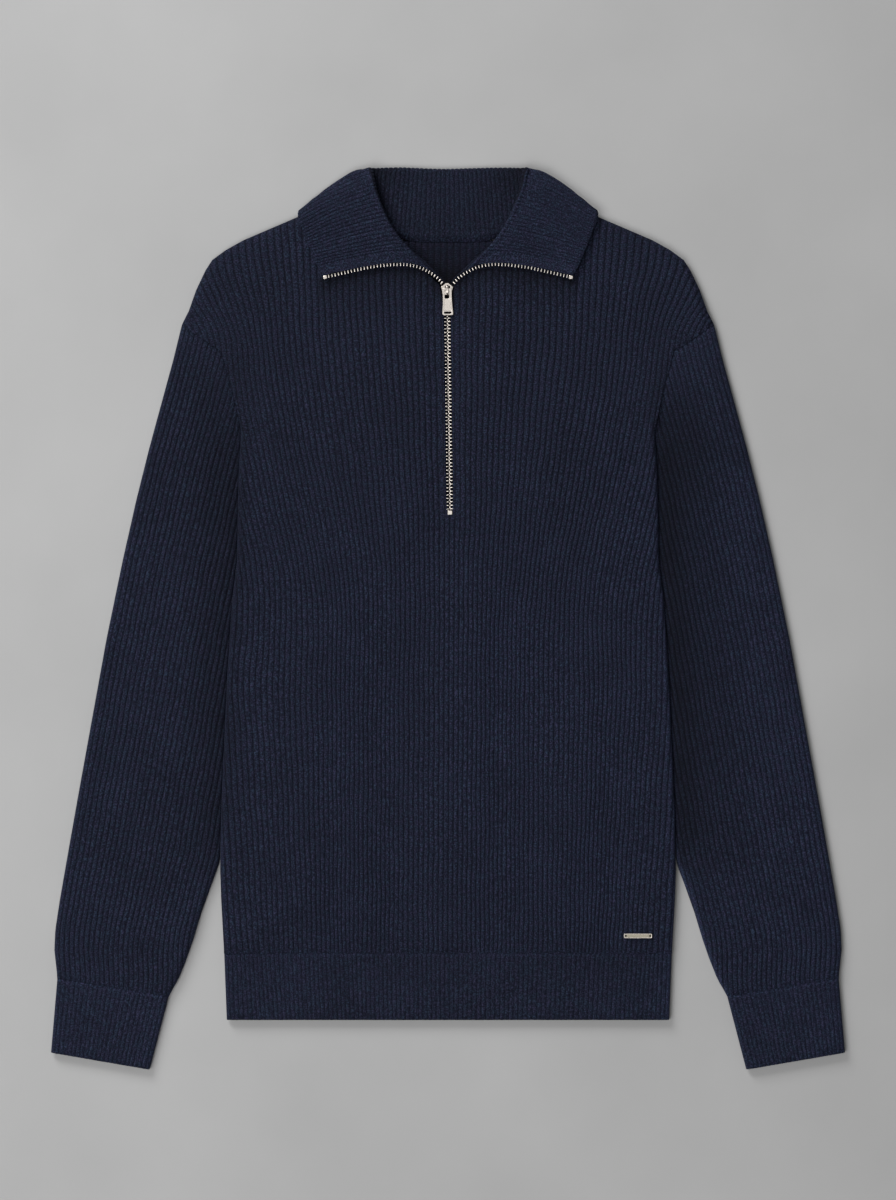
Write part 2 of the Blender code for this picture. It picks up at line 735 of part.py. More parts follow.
def collar(finish):
    """The collar: stand and fall in one ribbed wall, turned down round the neck."""
    wall = Wall()
    fine = np.linspace(-1.0, 1.0, 2 * COLLAR_RIBS + 1)
    sheet, normal, _, _ = collar_sheet(fine)
    outer_rows = []
    for j in range(sheet.shape[1]):
        row = []
        for k, q in enumerate(fine):
            u = 1.0 - abs(q)
            tight = j < 3 and TIGHT_TURN[0] < u < TIGHT_TURN[1]
            ribbed = k % 2 == 1 and u > PLAIN_EDGE and normal[k, j, 2] > -0.2 and not tight
            crest = COLLAR_RIB if ribbed else 0.0
            row.append(tuple(sheet[k, j] + normal[k, j] * (COLLAR_WALL / 2 + crest)))
        outer_rows.append(row)
    coarse = list(range(0, len(fine), 8))
    inner_rows = [[tuple(sheet[k, j] - normal[k, j] * COLLAR_WALL / 2) for k in coarse]
                  for j in range(sheet.shape[1])]
    outer = wall.grid(outer_rows, flip=True)
    inner = wall.grid(inner_rows)
    wall.stitch(outer[0], inner[0])
    wall.stitch(outer[-1], inner[-1], flip=True)
    wall.stitch(column(outer, 0), column(inner, 0), flip=True)
    wall.stitch(column(outer, -1), column(inner, -1))
    return wall.make("collar", finish)


def bar(name, path, width, height, finish):
    """A strip of rectangular section along a path of points (x, y, z)."""
    wall = Wall()
    rings = []
    path = [np.array(p) for p in path]
    for i, point in enumerate(path):
        ahead = path[min(len(path) - 1, i + 1)] - path[max(0, i - 1)]
        across = np.array((ahead[1], -ahead[0], 0.0))
        across = across / np.linalg.norm(across) * width / 2
        up = np.array((0.0, 0.0, height / 2))
        rings.append([tuple(point + across - up), tuple(point + across + up),
                      tuple(point - across + up), tuple(point - across - up)])
    ids = wall.grid(rings, closed=True)
    wall.face(*reversed(ids[0]))
    wall.face(*ids[-1])
    made = wall.make(name, finish, smooth=False)
    return made


def zip_x(y):
    """Centre line of the zip."""
    return lookup(ZIP_LINE, y)


def zip_tape(name, side, finish):
    """A woven tape under one edge of the slit."""
    offset = side * (CHAIN_WIDTH / 2 + SEAM + TAPE_WIDTH / 2)
    z = sum(TAPE_Z) / 2
    path = [(zip_x(y) + offset, y, z) for y in TAPE_Y]
    return bar(name, path, TAPE_WIDTH, TAPE_Z[1] - TAPE_Z[0], finish)


def zip_chain(finish):
    """The closed chain as one bar, from the bottom stop to the slider."""
    z = sum(CHAIN_Z) / 2
    path = [(zip_x(y), y, z) for y in (CHAIN_BOTTOM, CHAIN_TOP)]
    return bar("zip_chain", path, CHAIN_WIDTH, CHAIN_Z[1] - CHAIN_Z[0], finish)


def zip_rows(finish):
    """The open rows of teeth on the collar's front edges, and their top stops."""
    for name, side in (("left", -1.0), ("right", 1.0)):
        path = [(side * x, y, z) for x, y, z in ZIP_ROW]
        bar(f"zip_row_{name}", path[:-1], ROW_SIZE[0], ROW_SIZE[1], finish)
        start, end = np.array(path[-2]), np.array(path[-1])
        start = start + (end - start) / np.linalg.norm(end - start) * SEAM
        bar(f"zip_top_stop_{name}", [start, end], ROW_SIZE[0] + 0.5, ROW_SIZE[1] + 0.3, finish)


def block(name, outline, z_low, z_high, finish, hole=None):
    """A plate from an outline in the plane, with an optional hole of as many points."""
    wall = Wall()
    low = [(*p, z_low) for p in outline]
    high = [(*p, z_high) for p in outline]
    ids = wall.grid([low, high], closed=True)
    if hole is None:
        wall.face(*reversed(ids[0]))
        wall.face(*ids[1])
        return wall.make(name, finish, smooth=False)
    inner = wall.grid([[(*p, z_low) for p in hole], [(*p, z_high) for p in hole]], closed=True, flip=True)
    wall.stitch(ids[0] + ids[0][:1], inner[0] + inner[0][:1], flip=True)
    wall.stitch(ids[1] + ids[1][:1], inner[1] + inner[1][:1])
    return wall.make(name, finish, smooth=False)


def slider(finish):
    """The slider: a shield-shaped body with an arch that holds the tab."""
    y_low, y_high = SLIDER_Y
    x = zip_x(TAB_AXIS_Y)
    half_low, half_high = [width / 2 for width in SLIDER_WIDTH]
    length = y_high - y_low
    right = [(half_low - 1.2, y_low), (half_low, y_low + 1.4), (half_low - 0.1, y_low + 0.4 * length),
             (half_high, y_high - 3.2), (half_high - 1.1, y_high - 1.2), (2.2, y_high)]
    outline = [(x + px, py) for px, py in right] + [(x - px, py) for px, py in reversed(right)]
    body = block("zip_slider", outline, SLIDER_Z[0], SLIDER_Z[1], finish)
    arch = [(-3.9, -0.6), (-3.9, 2.0), (-2.7, 3.3), (2.7, 3.3), (3.9, 2.0), (3.9, -0.6),
            (2.7, -0.6), (2.7, 1.6), (2.1, 2.3), (-2.1, 2.3), (-2.7, 1.6), (-2.7, -0.6)]
    wall = Wall()
    rings = []
    for dx in (ARCH_WIDTH / 2, -ARCH_WIDTH / 2):
        rings.append([(x + dx, TAB_AXIS_Y + py, SLIDER_Z[1] + pz) for py, pz in arch])
    ids = wall.grid(rings, closed=True)
    wall.face(*reversed(ids[0]))
    wall.face(*ids[1])
    loop = wall.make("slider_arch", finish, smooth=False)
    join = body.modifiers.new("arch", "BOOLEAN")
    join.operation = "UNION"
    join.object = loop
    loop.hide_render = True
    loop.display_type = "WIRE"
    return body


def pull_tab(finish):
    """The pull tab, which swings on the slider's arch; its origin is on its axis."""
    half_top, half_end = [width / 2 for width in TAB_WIDTH]
    eye_half = EYE_SIZE[0] / 2
    outline = [(-half_top + 0.8, 0.75), (-half_top, -0.1), (-half_top, -0.38 * TAB_LENGTH),
               (-half_end, -TAB_LENGTH + 1.3), (-half_end + 1.3, -TAB_LENGTH),
               (half_end - 1.3, -TAB_LENGTH), (half_end, -TAB_LENGTH + 1.3),
               (half_top, -0.38 * TAB_LENGTH), (half_top, -0.1), (half_top - 0.8, 0.75)]
    hole = [(-eye_half, -0.75), (-eye_half, -2.2), (-eye_half, -0.75 - EYE_SIZE[1]),
            (eye_half, -0.75 - EYE_SIZE[1]), (eye_half, -2.2), (eye_half, -0.75)]
    half = TAB_THICKNESS / 2
    tab = block("zip_pull_tab", outline, -half, half, finish, hole)
    pivot = bpy.data.objects.new("tab_axis", None)
    bpy.context.scene.collection.objects.link(pivot)
    pivot.location = (zip_x(TAB_AXIS_Y) * MM, TAB_AXIS_Y * MM, TAB_AXIS_Z * MM)
    tab.parent = pivot
    return tab


def bevelled_box(name, centre, size, finish, bevel):
    """A box with bevelled edges."""
    outline = [(-size[0] / 2, -size[1] / 2), (size[0] / 2, -size[1] / 2),
               (size[0] / 2, size[1] / 2), (-size[0] / 2, size[1] / 2)]
    made = block(name, outline, 0.0, size[2], finish)
    made.location = [value * MM for value in centre]
    soften = made.modifiers.new("edges", "BEVEL")
    soften.width = bevel * MM
    soften.segments = 2
    return made


def metal_bar(finish):
    """The small bare metal bar, sewn to the front near the hem."""
    x, y = BAR_CENTRE
    z = front_top(x, y) + RIB + SEAM
    return bevelled_box("metal_bar", (x, y, z), BAR_SIZE, finish, 0.3)


def main():
    """Build every piece of the sweater."""
    clear_scene()
    knit = material("rib_knit", NAVY, 0.9)
    band_knit = material("band_knit", NAVY_DEEP, 0.9)
    woven = material("zip_tape", TAPE_NAVY, 0.85)
    nickel = material("nickel", NICKEL, 0.35, 1.0)
    back_panel(knit)
    front_panel(knit)
    for name, side in (("left", -1), ("right", 1)):
        sleeve(f"sleeve_{name}", side, knit)
        cuff(f"cuff_{name}", side, band_knit)
        zip_tape(f"zip_tape_{name}", side, woven)
    hem_band(band_knit)
    collar(knit)
    zip_chain(nickel)
    zip_rows(nickel)
    bevelled_box("zip_bottom_stop", (zip_x(STOP_Y), STOP_Y, CHAIN_Z[0]), STOP_SIZE, nickel, 0.5)
    slider(nickel)
    pull_tab(nickel)
    metal_bar(nickel)


main()
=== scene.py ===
"""Quarter zip sweater: a navy rib-knitted pullover with a turned-down collar, laid flat on its back.

Every cloth piece is a thin wall whose ribs follow the knit's own wales. Tables are in millimetres, with x
from the centre line, y up the garment and z above the floor.
"""

import json
import logging
import math
from dataclasses import dataclass, field
from enum import Enum

import bmesh
import bpy
import numpy as np
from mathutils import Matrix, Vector

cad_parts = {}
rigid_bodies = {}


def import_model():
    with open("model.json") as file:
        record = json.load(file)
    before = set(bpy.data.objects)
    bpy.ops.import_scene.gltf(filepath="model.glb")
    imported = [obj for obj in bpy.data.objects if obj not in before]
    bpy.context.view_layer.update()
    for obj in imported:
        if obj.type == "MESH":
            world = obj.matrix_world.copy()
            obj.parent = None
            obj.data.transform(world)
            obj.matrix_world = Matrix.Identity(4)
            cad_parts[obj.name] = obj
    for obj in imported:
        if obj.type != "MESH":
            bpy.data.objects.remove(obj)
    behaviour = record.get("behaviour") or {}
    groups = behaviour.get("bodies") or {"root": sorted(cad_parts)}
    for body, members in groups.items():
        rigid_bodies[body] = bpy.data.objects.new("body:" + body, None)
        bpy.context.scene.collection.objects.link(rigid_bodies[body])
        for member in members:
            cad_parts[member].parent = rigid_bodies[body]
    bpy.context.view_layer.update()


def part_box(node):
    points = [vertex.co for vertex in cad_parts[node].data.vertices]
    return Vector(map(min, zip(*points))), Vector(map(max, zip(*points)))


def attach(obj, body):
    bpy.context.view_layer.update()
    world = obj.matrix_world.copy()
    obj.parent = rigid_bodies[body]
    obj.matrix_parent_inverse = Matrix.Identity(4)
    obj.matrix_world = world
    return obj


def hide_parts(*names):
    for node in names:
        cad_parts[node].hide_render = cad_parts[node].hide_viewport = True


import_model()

LOG = logging.getLogger("sweater")
MM = 0.001
GARMENT = "garment"
Table = list[tuple[float, ...]]

# Heights of the layers
WALL = 2.4            # thickness of the knit
RIB = 0.7             # crest of a rib over the knit beside it
GROOVE = 0.3          # how far the groove between two ribs sinks
FRONT_HEIGHT = 8.4
ZIP_HEIGHT = 7.5
FRONT_EDGE = 4.2
BACK_TOP = 3.0
SEAM = 0.3
RIB_COLUMNS = (0.0, 0.07, 0.17, 0.5, 0.83, 0.93)   # places across one rib, from groove to groove
BAND_RIB = 0.45       # crest of a rib on the cuffs and the hem band
BAND_EDGE = 3.8       # height at which the cuffs and the hem band turn down at their edges
SEWN_RELIEF = 0.35    # part of the ribs' relief that a linked seam leaves
# painted light along a band's linked seam covers this share of its length
SEAM_SHARE = 0.04     # part of a band's length that its linked seam lightens
ARMHOLE_SOFT = 45.0   # how far from the armhole the ribs are stretched flatter
SIDES = {-1: "left", 1: "right"}

# Body: outline from the hem seam to the neck point
BODY_ROWS: Table = [
    # y, half_width
    (-284.1, 190.4),
    (-239.0, 192.9),
    (-213.5, 193.8),
    (-161.7, 192.9),
    (-48.6, 187.8),
    (16.0, 183.6),
    (50.0, 179.3),
    (84.0, 178.9),
    (125.0, 178.0),
    (160.5, 175.9),
    (186.0, 181.0),
    (226.8, 192.1),
    (249.7, 226.5),
    (262.5, 220.2),
    (279.5, 214.2),
    (296.5, 206.1),
    (305.0, 200.6),
    (313.5, 189.1),
    (322.0, 173.8),
    (341.5, 128.3),
    (357.7, 81.6),
]
FRONT_OPENING: Table = [
    # y, half_width
    (88.3, 0.0),
    (90.5, 2.9),
    (266.0, 2.9),
    (284.0, 6.6),
    (297.3, 20.5),
    (305.0, 31.5),
    (313.5, 43.0),
    (322.0, 53.0),
    (341.5, 72.0),
    (357.7, 81.6),
]
BACK_OPENING: Table = [
    # y, half_width
    (322.3, 46.0),
    (331.0, 65.0),
    (346.0, 77.0),
    (357.7, 81.6),
]
SLIT_BOTTOM = 84.0
HEM_SEAM = -284.3
NECKLINE_BACK = 320.5
BODY_SIDE: Table = [(x, y) for y, x in BODY_ROWS if y <= 160.6]
BODY_SHOULDER: Table = [(x, y) for y, x in BODY_ROWS if y >= 249.6]
# Heights that a row of points passes through
FRONT_ROWS = (
    HEM_SEAM - 0.2, 50.0, SLIT_BOTTOM, 88.3, 90.5, 160.5, 226.8, 249.7,
    266.0, 284.0, 305.0, 322.0, 341.5, 357.7,
)
BACK_ROWS = (-283.8, 160.5, 249.7, 284.0, 305.0, NECKLINE_BACK, 322.3, 341.5, 357.7)
ZIP_LINE: Table = [
    # y, x
    (-284.1, 0.0),
    (90.0, 1.7),
    (260.0, -0.5),
    (285.0, -0.9),
    (357.7, 0.0),
]
BODY_RIBS = 52
RIB_LEAN: Table = [
    # y, how far the outer ribs lean inwards
    (-284.0, 8.4),
    (-60.0, -5.6),
]
FRONT_PAINTED_LIGHT: Table = [
    # y, painted light as a factor on the colour
    (-284.0, 1.0),
    (-120.0, 1.06),
    (40.0, 1.0),
    (140.0, 0.92),
    (357.0, 0.93),
]
# Places, by x, y, half width and half height, where light and shade are painted on the cloth
LIT_SPOT = (160.0, 100.0, 26.0, 62.0)       # the knit stands up towards the light beside the right sleeve
ARM_SHADE = (188.0, 198.0, 17.0, 36.0)
SLEEVE_SHADE = (203.0, 180.0, 18.0, 36.0)
NECK_SHADE = (0.0, 285.0, 34.0, 23.0)       # the inside of the back, where the collar's edges meet over it
# Soft folds that run down the front, as troughs and (with a negative depth) ridges
FRONT_FOLDS: Table = [
    # x_top, x_low, y_top, y_low, width, depth
    (-62.0, -56.0, 60.0, -284.0, 13.0, 0.9),
    (-104.0, -98.0, -60.0, -284.0, 11.0, 0.7),
    (44.0, 47.0, 40.0, -284.0, 12.0, 0.8),
    (132.0, 138.0, -10.0, -284.0, 12.0, 0.9),
    (-168.0, -60.0, 150.0, 40.0, 14.0, 0.7),
    (168.0, 60.0, 150.0, 40.0, 14.0, 0.7),
    (-182.0, -120.0, 190.0, 60.0, 9.0, 0.6),
    (182.0, 112.0, 190.0, 50.0, 9.0, 0.6),
    (0.0, 4.0, 60.0, -260.0, 20.0, -0.4),
    (-150.0, -146.0, 20.0, -240.0, 10.0, -0.4),
    (88.0, 92.0, 0.0, -270.0, 15.0, -0.4),
]
# Pitch of the body's ribs from the shoulder to the chest, at distances from the centre line
PITCH_PLACES = (0.0, 54.0, 100.0, 139.0, 170.0, 205.0)
UPPER_PITCH: Table = [
    # y, pitch at each place
    (357.7, 5.6, 5.6, 5.8, 6.3, 6.6, 6.8),
    (325.0, 5.5, 5.5, 5.7, 6.1, 6.4, 6.6),
    (299.0, 5.5, 5.5, 5.6, 5.7, 6.4, 6.7),
    (273.0, 5.5, 5.5, 5.5, 5.2, 5.6, 6.1),
    (245.0, 5.3, 5.5, 5.5, 4.9, 4.5, 4.9),
    (203.0, 5.0, 5.3, 5.4, 4.7, 4.5, 4.4),
    (118.0, 4.6, 4.6, 4.7, 4.4, 4.7, 4.2),
    (50.0, 4.2, 4.1, 4.1, 4.3, 4.6, 4.2),
    (-284.1, 4.2, 4.1, 4.1, 4.3, 4.6, 4.2),
]
# Pitch below the chest, where the knit has crowded together in places
LOWER_PITCH: Table = [
    # x, pitch
    (-190.0, 5.0),
    (-160.0, 4.7),
    (-139.0, 4.4),
    (-117.0, 4.5),
    (-96.0, 3.5),
    (-75.0, 3.9),
    (-54.0, 3.6),
    (-32.0, 4.3),
    (-11.0, 4.2),
    (11.0, 4.0),
    (32.0, 3.7),
    (54.0, 3.6),
    (75.0, 4.2),
    (96.0, 4.2),
    (117.0, 3.8),
    (139.0, 3.6),
    (160.0, 4.2),
    (190.0, 5.0),
]

# Sleeves: the fold along the outside, the edge beside the body and the dropped armhole
SLEEVE_OUTER: Table = [
    # y, x
    (-305.3, 332.3),
    (-281.5, 334.9),
    (-264.5, 334.1),
    (-239.0, 330.2),
    (-205.0, 324.3),
    (-154.0, 315.3),
    (-86.0, 303.0),
    (-18.0, 290.7),
    (50.0, 276.7),
    (101.0, 265.2),
    (143.5, 254.6),
    (186.0, 243.1),
    (220.0, 233.8),
    (249.7, 226.5),
]
SLEEVE_INNER: Table = [
    # y, x
    (-320.6, 237.5),
    (-307.0, 229.5),
    (-290.0, 222.7),
    (-273.0, 216.8),
    (-256.0, 211.7),
    (-239.0, 206.5),
    (-226.3, 201.4),
    (-213.5, 196.6),
    (-206.0, 194.3),
    (-196.5, 193.9),
    (-161.7, 193.2),
    (-104.7, 190.6),
    (-48.6, 188.1),
    (16.0, 183.9),
    (50.0, 179.6),
    (116.3, 178.6),
    (160.5, 176.2),
]
ARMHOLE: Table = [
    # x, y
    (226.5, 249.7),
    (192.1, 226.8),
    (181.0, 186.0),
    (175.9, 160.5),
]
SLEEVE_ROWS: Table = [
    # y_outer, y_inner, share of the armhole's bend
    (249.7, 160.5, 1.00),
    (225.0, 136.0, 0.70),
    (190.0, 104.0, 0.40),
    (140.0, 60.0, 0.15),
    (60.0, 0.0, 0.0),
    (-40.0, -75.0, 0.0),
    (-130.0, -150.0, 0.0),
    (-192.0, -200.0, 0.0),
    (-225.0, -228.0, 0.0),
    (-262.0, -267.0, 0.0),
    (-287.0, -298.0, 0.0),
    (-305.9, -321.1, 0.0),
]
SLEEVE_PITCH: Table = [
    # y, rib_pitch
    (-320.6, 4.05),
    (-250.0, 4.35),
    (-200.0, 4.50),
    (250.0, 4.50),
]

OUTSIDE_FOLD: Table = [(x, y) for y, x in SLEEVE_OUTER]
INSIDE_EDGE: Table = [(x, y) for y, x in SLEEVE_INNER]

# Collar, from the zip's edge round to the centre back
COLLAR_SECTIONS = [
    # u, seam, fold, roll angle,
    # near on the fall, far on the fall, free edge
    (0.00, (4.6, 288.0, 9.6), (19.4, 299.4, 12.0), 80.0,
     (51.0, 302.6, 12.3), (78.6, 298.2, 12.2), (106.6, 291.6, 11.8)),
    (0.15, (18.6, 300.6, 8.2), (33.1, 312.0, 14.2), 55.0,
     (56.0, 310.8, 13.2), (83.5, 305.6, 12.0), (110.8, 299.2, 11.7)),
    (0.30, (38.0, 314.6, 8.2), (48.4, 331.0, 16.4), 50.0,
     (70.0, 327.5, 14.4), (94.0, 321.2, 12.4), (117.0, 314.0, 11.6)),
    (0.42, (53.6, 332.6, 8.3), (58.8, 352.4, 17.0), 65.0,
     (79.5, 347.5, 14.8), (101.5, 339.6, 12.4), (122.6, 329.0, 11.5)),
    (0.51, (71.0, 352.0, 8.0), (64.6, 369.0, 16.0), 85.0,
     (84.5, 362.6, 13.8), (106.0, 353.0, 11.6), (127.0, 341.4, 10.4)),
    (0.55, (72.4, 352.0, 6.0), (65.8, 375.6, 14.2), 98.0,
     (88.0, 367.4, 11.8), (112.0, 355.6, 9.0), (125.4, 346.6, 6.6)),
    (0.59, (70.0, 347.6, 4.9), (67.2, 379.8, 12.2), 112.0,
     (85.6, 374.0, 9.8), (109.0, 359.6, 5.8), (115.0, 352.8, 2.8)),
    (0.66, (64.0, 338.6, 4.3), (67.0, 381.8, 8.2), 135.0,
     (78.0, 379.4, 5.8), (91.6, 371.2, 3.0), (95.0, 362.4, 1.6)),
    (0.73, (56.0, 330.6, 4.2), (58.0, 381.6, 5.0), 160.0,
     (62.5, 378.2, 1.9), (65.5, 373.4, 1.5), (66.5, 366.2, 1.5)),
    (0.82, (41.4, 323.4, 4.2), (40.0, 381.4, 3.5), 178.0,
     (41.5, 374.6, 1.5), (44.0, 362.0, 1.5), (47.0, 349.0, 1.5)),
    (1.00, (0.0, 320.6, 4.2), (0.0, 380.2, 3.4), 180.0,
     (0.0, 373.4, 1.5), (0.0, 354.0, 1.5), (0.0, 333.0, 1.5)),
]
# Share of the collar's half at which each rib, counted from the zip, crosses the roll and the neck seam
RIBS_AT_ROLL: Table = [
    # ribs, u
    (0.0, 0.0),
    (2.9, 0.15),
    (9.0, 0.30),
    (15.9, 0.42),
    (20.9, 0.51),
    (22.7, 0.55),
    (24.2, 0.59),
    (25.4, 0.66),
    (27.4, 0.73),
    (32.3, 0.82),
    (43.5, 1.0),
]
RIBS_AT_SEAM: Table = [
    # ribs, u
    (0.0, 0.0),
    (2.9, 0.15),
    (9.0, 0.30),
    (15.9, 0.42),
    (20.9, 0.51),
    (22.7, 0.55),
    (24.6, 0.59),
    (27.2, 0.66),
    (29.9, 0.73),
    (33.8, 0.82),
    (43.5, 1.0),
]
# Middle of the open row of teeth on the right, from the slider to its top stop
ZIP_ROW: Table = [
    # x, y, z
    (4.6, 284.0, 9.2),
    (6.4, 286.4, 9.9),
    (13.8, 292.5, 10.8),
    (24.8, 298.0, 11.5),
    (35.9, 300.2, 11.9),
    (50.7, 299.9, 12.1),
    (69.1, 297.5, 12.0),
    (87.5, 293.4, 11.8),
    (102.4, 290.1, 11.7),
    (106.0, 289.3, 11.7),
]
ROW_PLAN: Table = [(x, y) for x, y, _ in ZIP_ROW]

# Metal: half outlines, from the middle line
SLIDER_OUTLINE: Table = [
    (2.9, 275.3), (3.9, 275.8), (4.2, 276.8), (4.2, 278.4), (4.6, 280.2),
    (5.05, 281.4), (4.9, 282.3), (3.2, 283.8), (1.4, 285.0),
]
SLIDER_CROWN: Table = [
    (-2.6, 275.8), (-3.5, 276.4), (-3.7, 280.4), (-4.3, 281.4), (-4.4, 282.3), (-2.9, 283.8), (-1.0, 285.2),
]
TAB_OUTLINE: Table = [
    (2.9, 0.7), (3.7, 0.1), (3.9, -2.5), (3.85, -6.0), (3.9, -10.0),
    (4.1, -14.0), (4.45, -18.0), (4.65, -20.6), (4.4, -21.7), (3.6, -22.2),
]
TAB_INSET: Table = [(2.75, -8.6), (2.75, -12.0), (2.9, -15.0), (3.2, -18.2)]
# The slider's arch in full, as distance along the chain and height
SLIDER_ARCH: Table = [
    (-4.6, 0.0), (-4.6, 1.6), (-3.8, 2.7), (-2.4, 3.2), (1.6, 3.2), (2.6, 2.7), (3.4, 1.6), (3.4, 0.0),
    (2.4, 0.0), (2.4, 1.5), (1.7, 2.2), (-2.1, 2.2), (-3.0, 1.5), (-3.0, 0.0),
]


class Finish(Enum):
    """Surfaces of the sweater's pieces, named by their material slot."""

    RIB_KNIT = "rib_knit"
    BAND_KNIT = "band_knit"
    # a darker copy of the knit, as painted shade inside the neck
    SHADED_INSIDE_KNIT = "shaded_inside_knit"
    COLLAR_KNIT = "collar_knit"
    ZIP_TAPE = "zip_tape"
    NICKEL = "nickel"
    GREY_NICKEL = "grey_nickel"
    # near-black plates put under holes and slots, as painted shade
    PAINTED_SHADE = "painted_shade"


METAL_SLOTS = (Finish.NICKEL, Finish.PAINTED_SHADE, Finish.GREY_NICKEL)


# ---------------------------------------------------------------- small helpers


def linear(hex_colour: str) -> tuple[float, float, float, float]:
    """Turn an sRGB hex colour to linear red, green, blue and alpha.

    Args:
        hex_colour: the colour, with or without its number sign.

    Returns:
        The linear values.
    """
    values = [int(hex_colour.lstrip("#")[i : i + 2], 16) / 255.0 for i in (0, 2, 4)]
    turned = [v / 12.92 if v <= 0.04045 else ((v + 0.055) / 1.055) ** 2.4 for v in values]
    return (turned[0], turned[1], turned[2], 1.0)


def read(rows: Table, value: np.ndarray | float, index: int = 1) -> np.ndarray:
    """Read a column of a table between its rows."""
    return np.interp(value, [row[0] for row in rows], [row[index] for row in rows])


def ease(t: np.ndarray | float) -> np.ndarray:
    """Smooth step from 0 to 1."""
    t = np.clip(t, 0.0, 1.0)
    return t * t * (3.0 - 2.0 * t)


def bell(distance: np.ndarray | float, width: float, power: int = 2) -> np.ndarray:
    """Share that falls softly from 1 at no distance to 0 well beyond a width."""
    return np.exp(-((distance / width) ** power))


def spot(x: np.ndarray, y: np.ndarray | float, place: tuple[float, ...]) -> np.ndarray:
    """Share that falls softly round a place, given as x, y, half width and half height."""
    return np.exp(-(((x - place[0]) / place[2]) ** 2 + ((y - place[1]) / place[3]) ** 2))


def rounded(depth: np.ndarray | float, radius: float) -> np.ndarray:
    """Height, from 0 to 1, of a quarter round at a distance from its edge."""
    t = np.clip(np.asarray(depth) / radius, 0.0, 1.0)
    return np.sqrt(1.0 - (1.0 - t) ** 2)


def path_distance(x: np.ndarray, y: np.ndarray | float, path: Table) -> np.ndarray:
    """Distance in the plane from points to a path.

    Args:
        x: the points' x.
        y: the points' y.
        path: corners (x, y).

    Returns:
        The distance of each point.
    """
    best = np.full(np.broadcast(x, y).shape, 1e9)
    for (ax, ay), (bx, by) in zip(path[:-1], path[1:]):
        dx, dy = bx - ax, by - ay
        t = np.clip(((x - ax) * dx + (y - ay) * dy) / (dx * dx + dy * dy), 0.0, 1.0)
        best = np.minimum(best, np.hypot(x - ax - t * dx, y - ay - t * dy))
    return best


def ridge(ribs: np.ndarray) -> np.ndarray:
    """Profile of the ribs from 0, in a groove, to 1, on a crest; grooves lie at whole numbers."""
    return 1.0 - np.abs(np.cos(np.pi * np.asarray(ribs))) ** 8


def relief(ribs: np.ndarray, crest: float = RIB) -> np.ndarray:
    """Height of the ribs over the plain knit, below 0 in the grooves."""
    return ridge(ribs) * (crest + GROOVE) - GROOVE


def sewn(share: float) -> float:
    """Part of the ribs' relief that shows, from a linked seam (0) to clear of it (1)."""
    return SEWN_RELIEF + (1.0 - SEWN_RELIEF) * float(ease(share))


def rib_columns(count: int) -> np.ndarray:
    """Places, in ribs, of the columns of points across a number of ribs."""
    places = [k + part for k in range(count) for part in RIB_COLUMNS]
    return np.array(places + [float(count)])


def unevenness(x: np.ndarray, y: np.ndarray, size: float = 0.28) -> np.ndarray:
    """Low, wide waves that keep laid cloth from looking pressed."""
    waves = np.sin(x / 31.0 + 1.7 * np.sin(y / 83.0)) * np.cos(y / 47.0 + 0.9 * np.sin(x / 59.0))
    return size * (waves + 0.6 * np.sin(x / 13.0 + y / 29.0) * np.cos(y / 21.0 - x / 37.0))


def waver(ribs: np.ndarray, y: np.ndarray, size: float) -> np.ndarray:
    """Small sideways wander of the ribs."""
    return size * (np.sin(y / 15.0 + 1.9 * np.sin(ribs / 3.1)) + 0.7 * np.sin(y / 6.3 + ribs / 1.7))


def hermite(
    marks: np.ndarray,
    values: np.ndarray,
    places: np.ndarray,
    slopes: np.ndarray | None = None,
) -> np.ndarray:
    """Smooth curve through values, read at places.

    Args:
        marks: where each row of values lies, growing.
        values: one row for each mark.
        places: where to read.
        slopes: slope at each mark, or none for even ones.

    Returns:
        One row for each place.
    """
    if slopes is None:
        slopes = np.gradient(values, marks, axis=0)
    i = np.clip(np.searchsorted(marks, places, side="right") - 1, 0, len(marks) - 2)
    h = (marks[i + 1] - marks[i])[:, None]
    t = (places - marks[i])[:, None] / h
    return (
        (2 * t**3 - 3 * t**2 + 1) * values[i]
        + (t**3 - 2 * t**2 + t) * h * slopes[i]
        + (3 * t**2 - 2 * t**3) * values[i + 1]
        + (t**3 - t**2) * h * slopes[i + 1]
    )


def shares(points: np.ndarray) -> np.ndarray:
    """Share of a path's length, from 0 to 1, that lies before each of its points."""
    steps = np.linalg.norm(np.diff(points, axis=0), axis=1)
    return np.concatenate([[0.0], np.cumsum(steps)]) / max(float(steps.sum()), 1e-9)


def sample(places: np.ndarray, marks: np.ndarray, points: np.ndarray) -> np.ndarray:
    """Read a path's points at places between its marks."""
    return np.stack([np.interp(places, marks, column) for column in points.T], axis=1)


def pair(u: np.ndarray, v: np.ndarray | float) -> np.ndarray:
    """Join two coordinates into one array."""
    return np.stack(np.broadcast_arrays(u, v), axis=-1)


def level_row(x: np.ndarray, y: float, z: np.ndarray) -> np.ndarray:
    """Points of a row that runs straight across the garment."""
    return np.stack([x, np.full_like(x, y), z], axis=1)


def new_object(name: str, data: bpy.types.ID) -> bpy.types.Object:
    """Add an object to the scene.

    Args:
        name: the object's name.
        data: its mesh, curve, light or camera.

    Returns:
        The new object.
    """
    made = bpy.data.objects.new(name, data)
    bpy.context.scene.collection.objects.link(made)
    return made


def stand_for(made: bpy.types.Object, node: str, body: str = GARMENT) -> bpy.types.Object:
    """Let a piece ride on a body and replace its node.

    Args:
        made: the piece.
        node: the solid that it stands for.
        body: the body that it rides on.

    Returns:
        The same piece.
    """
    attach(made, body)
    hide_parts(node)
    return made


# ---------------------------------------------------------------- meshes


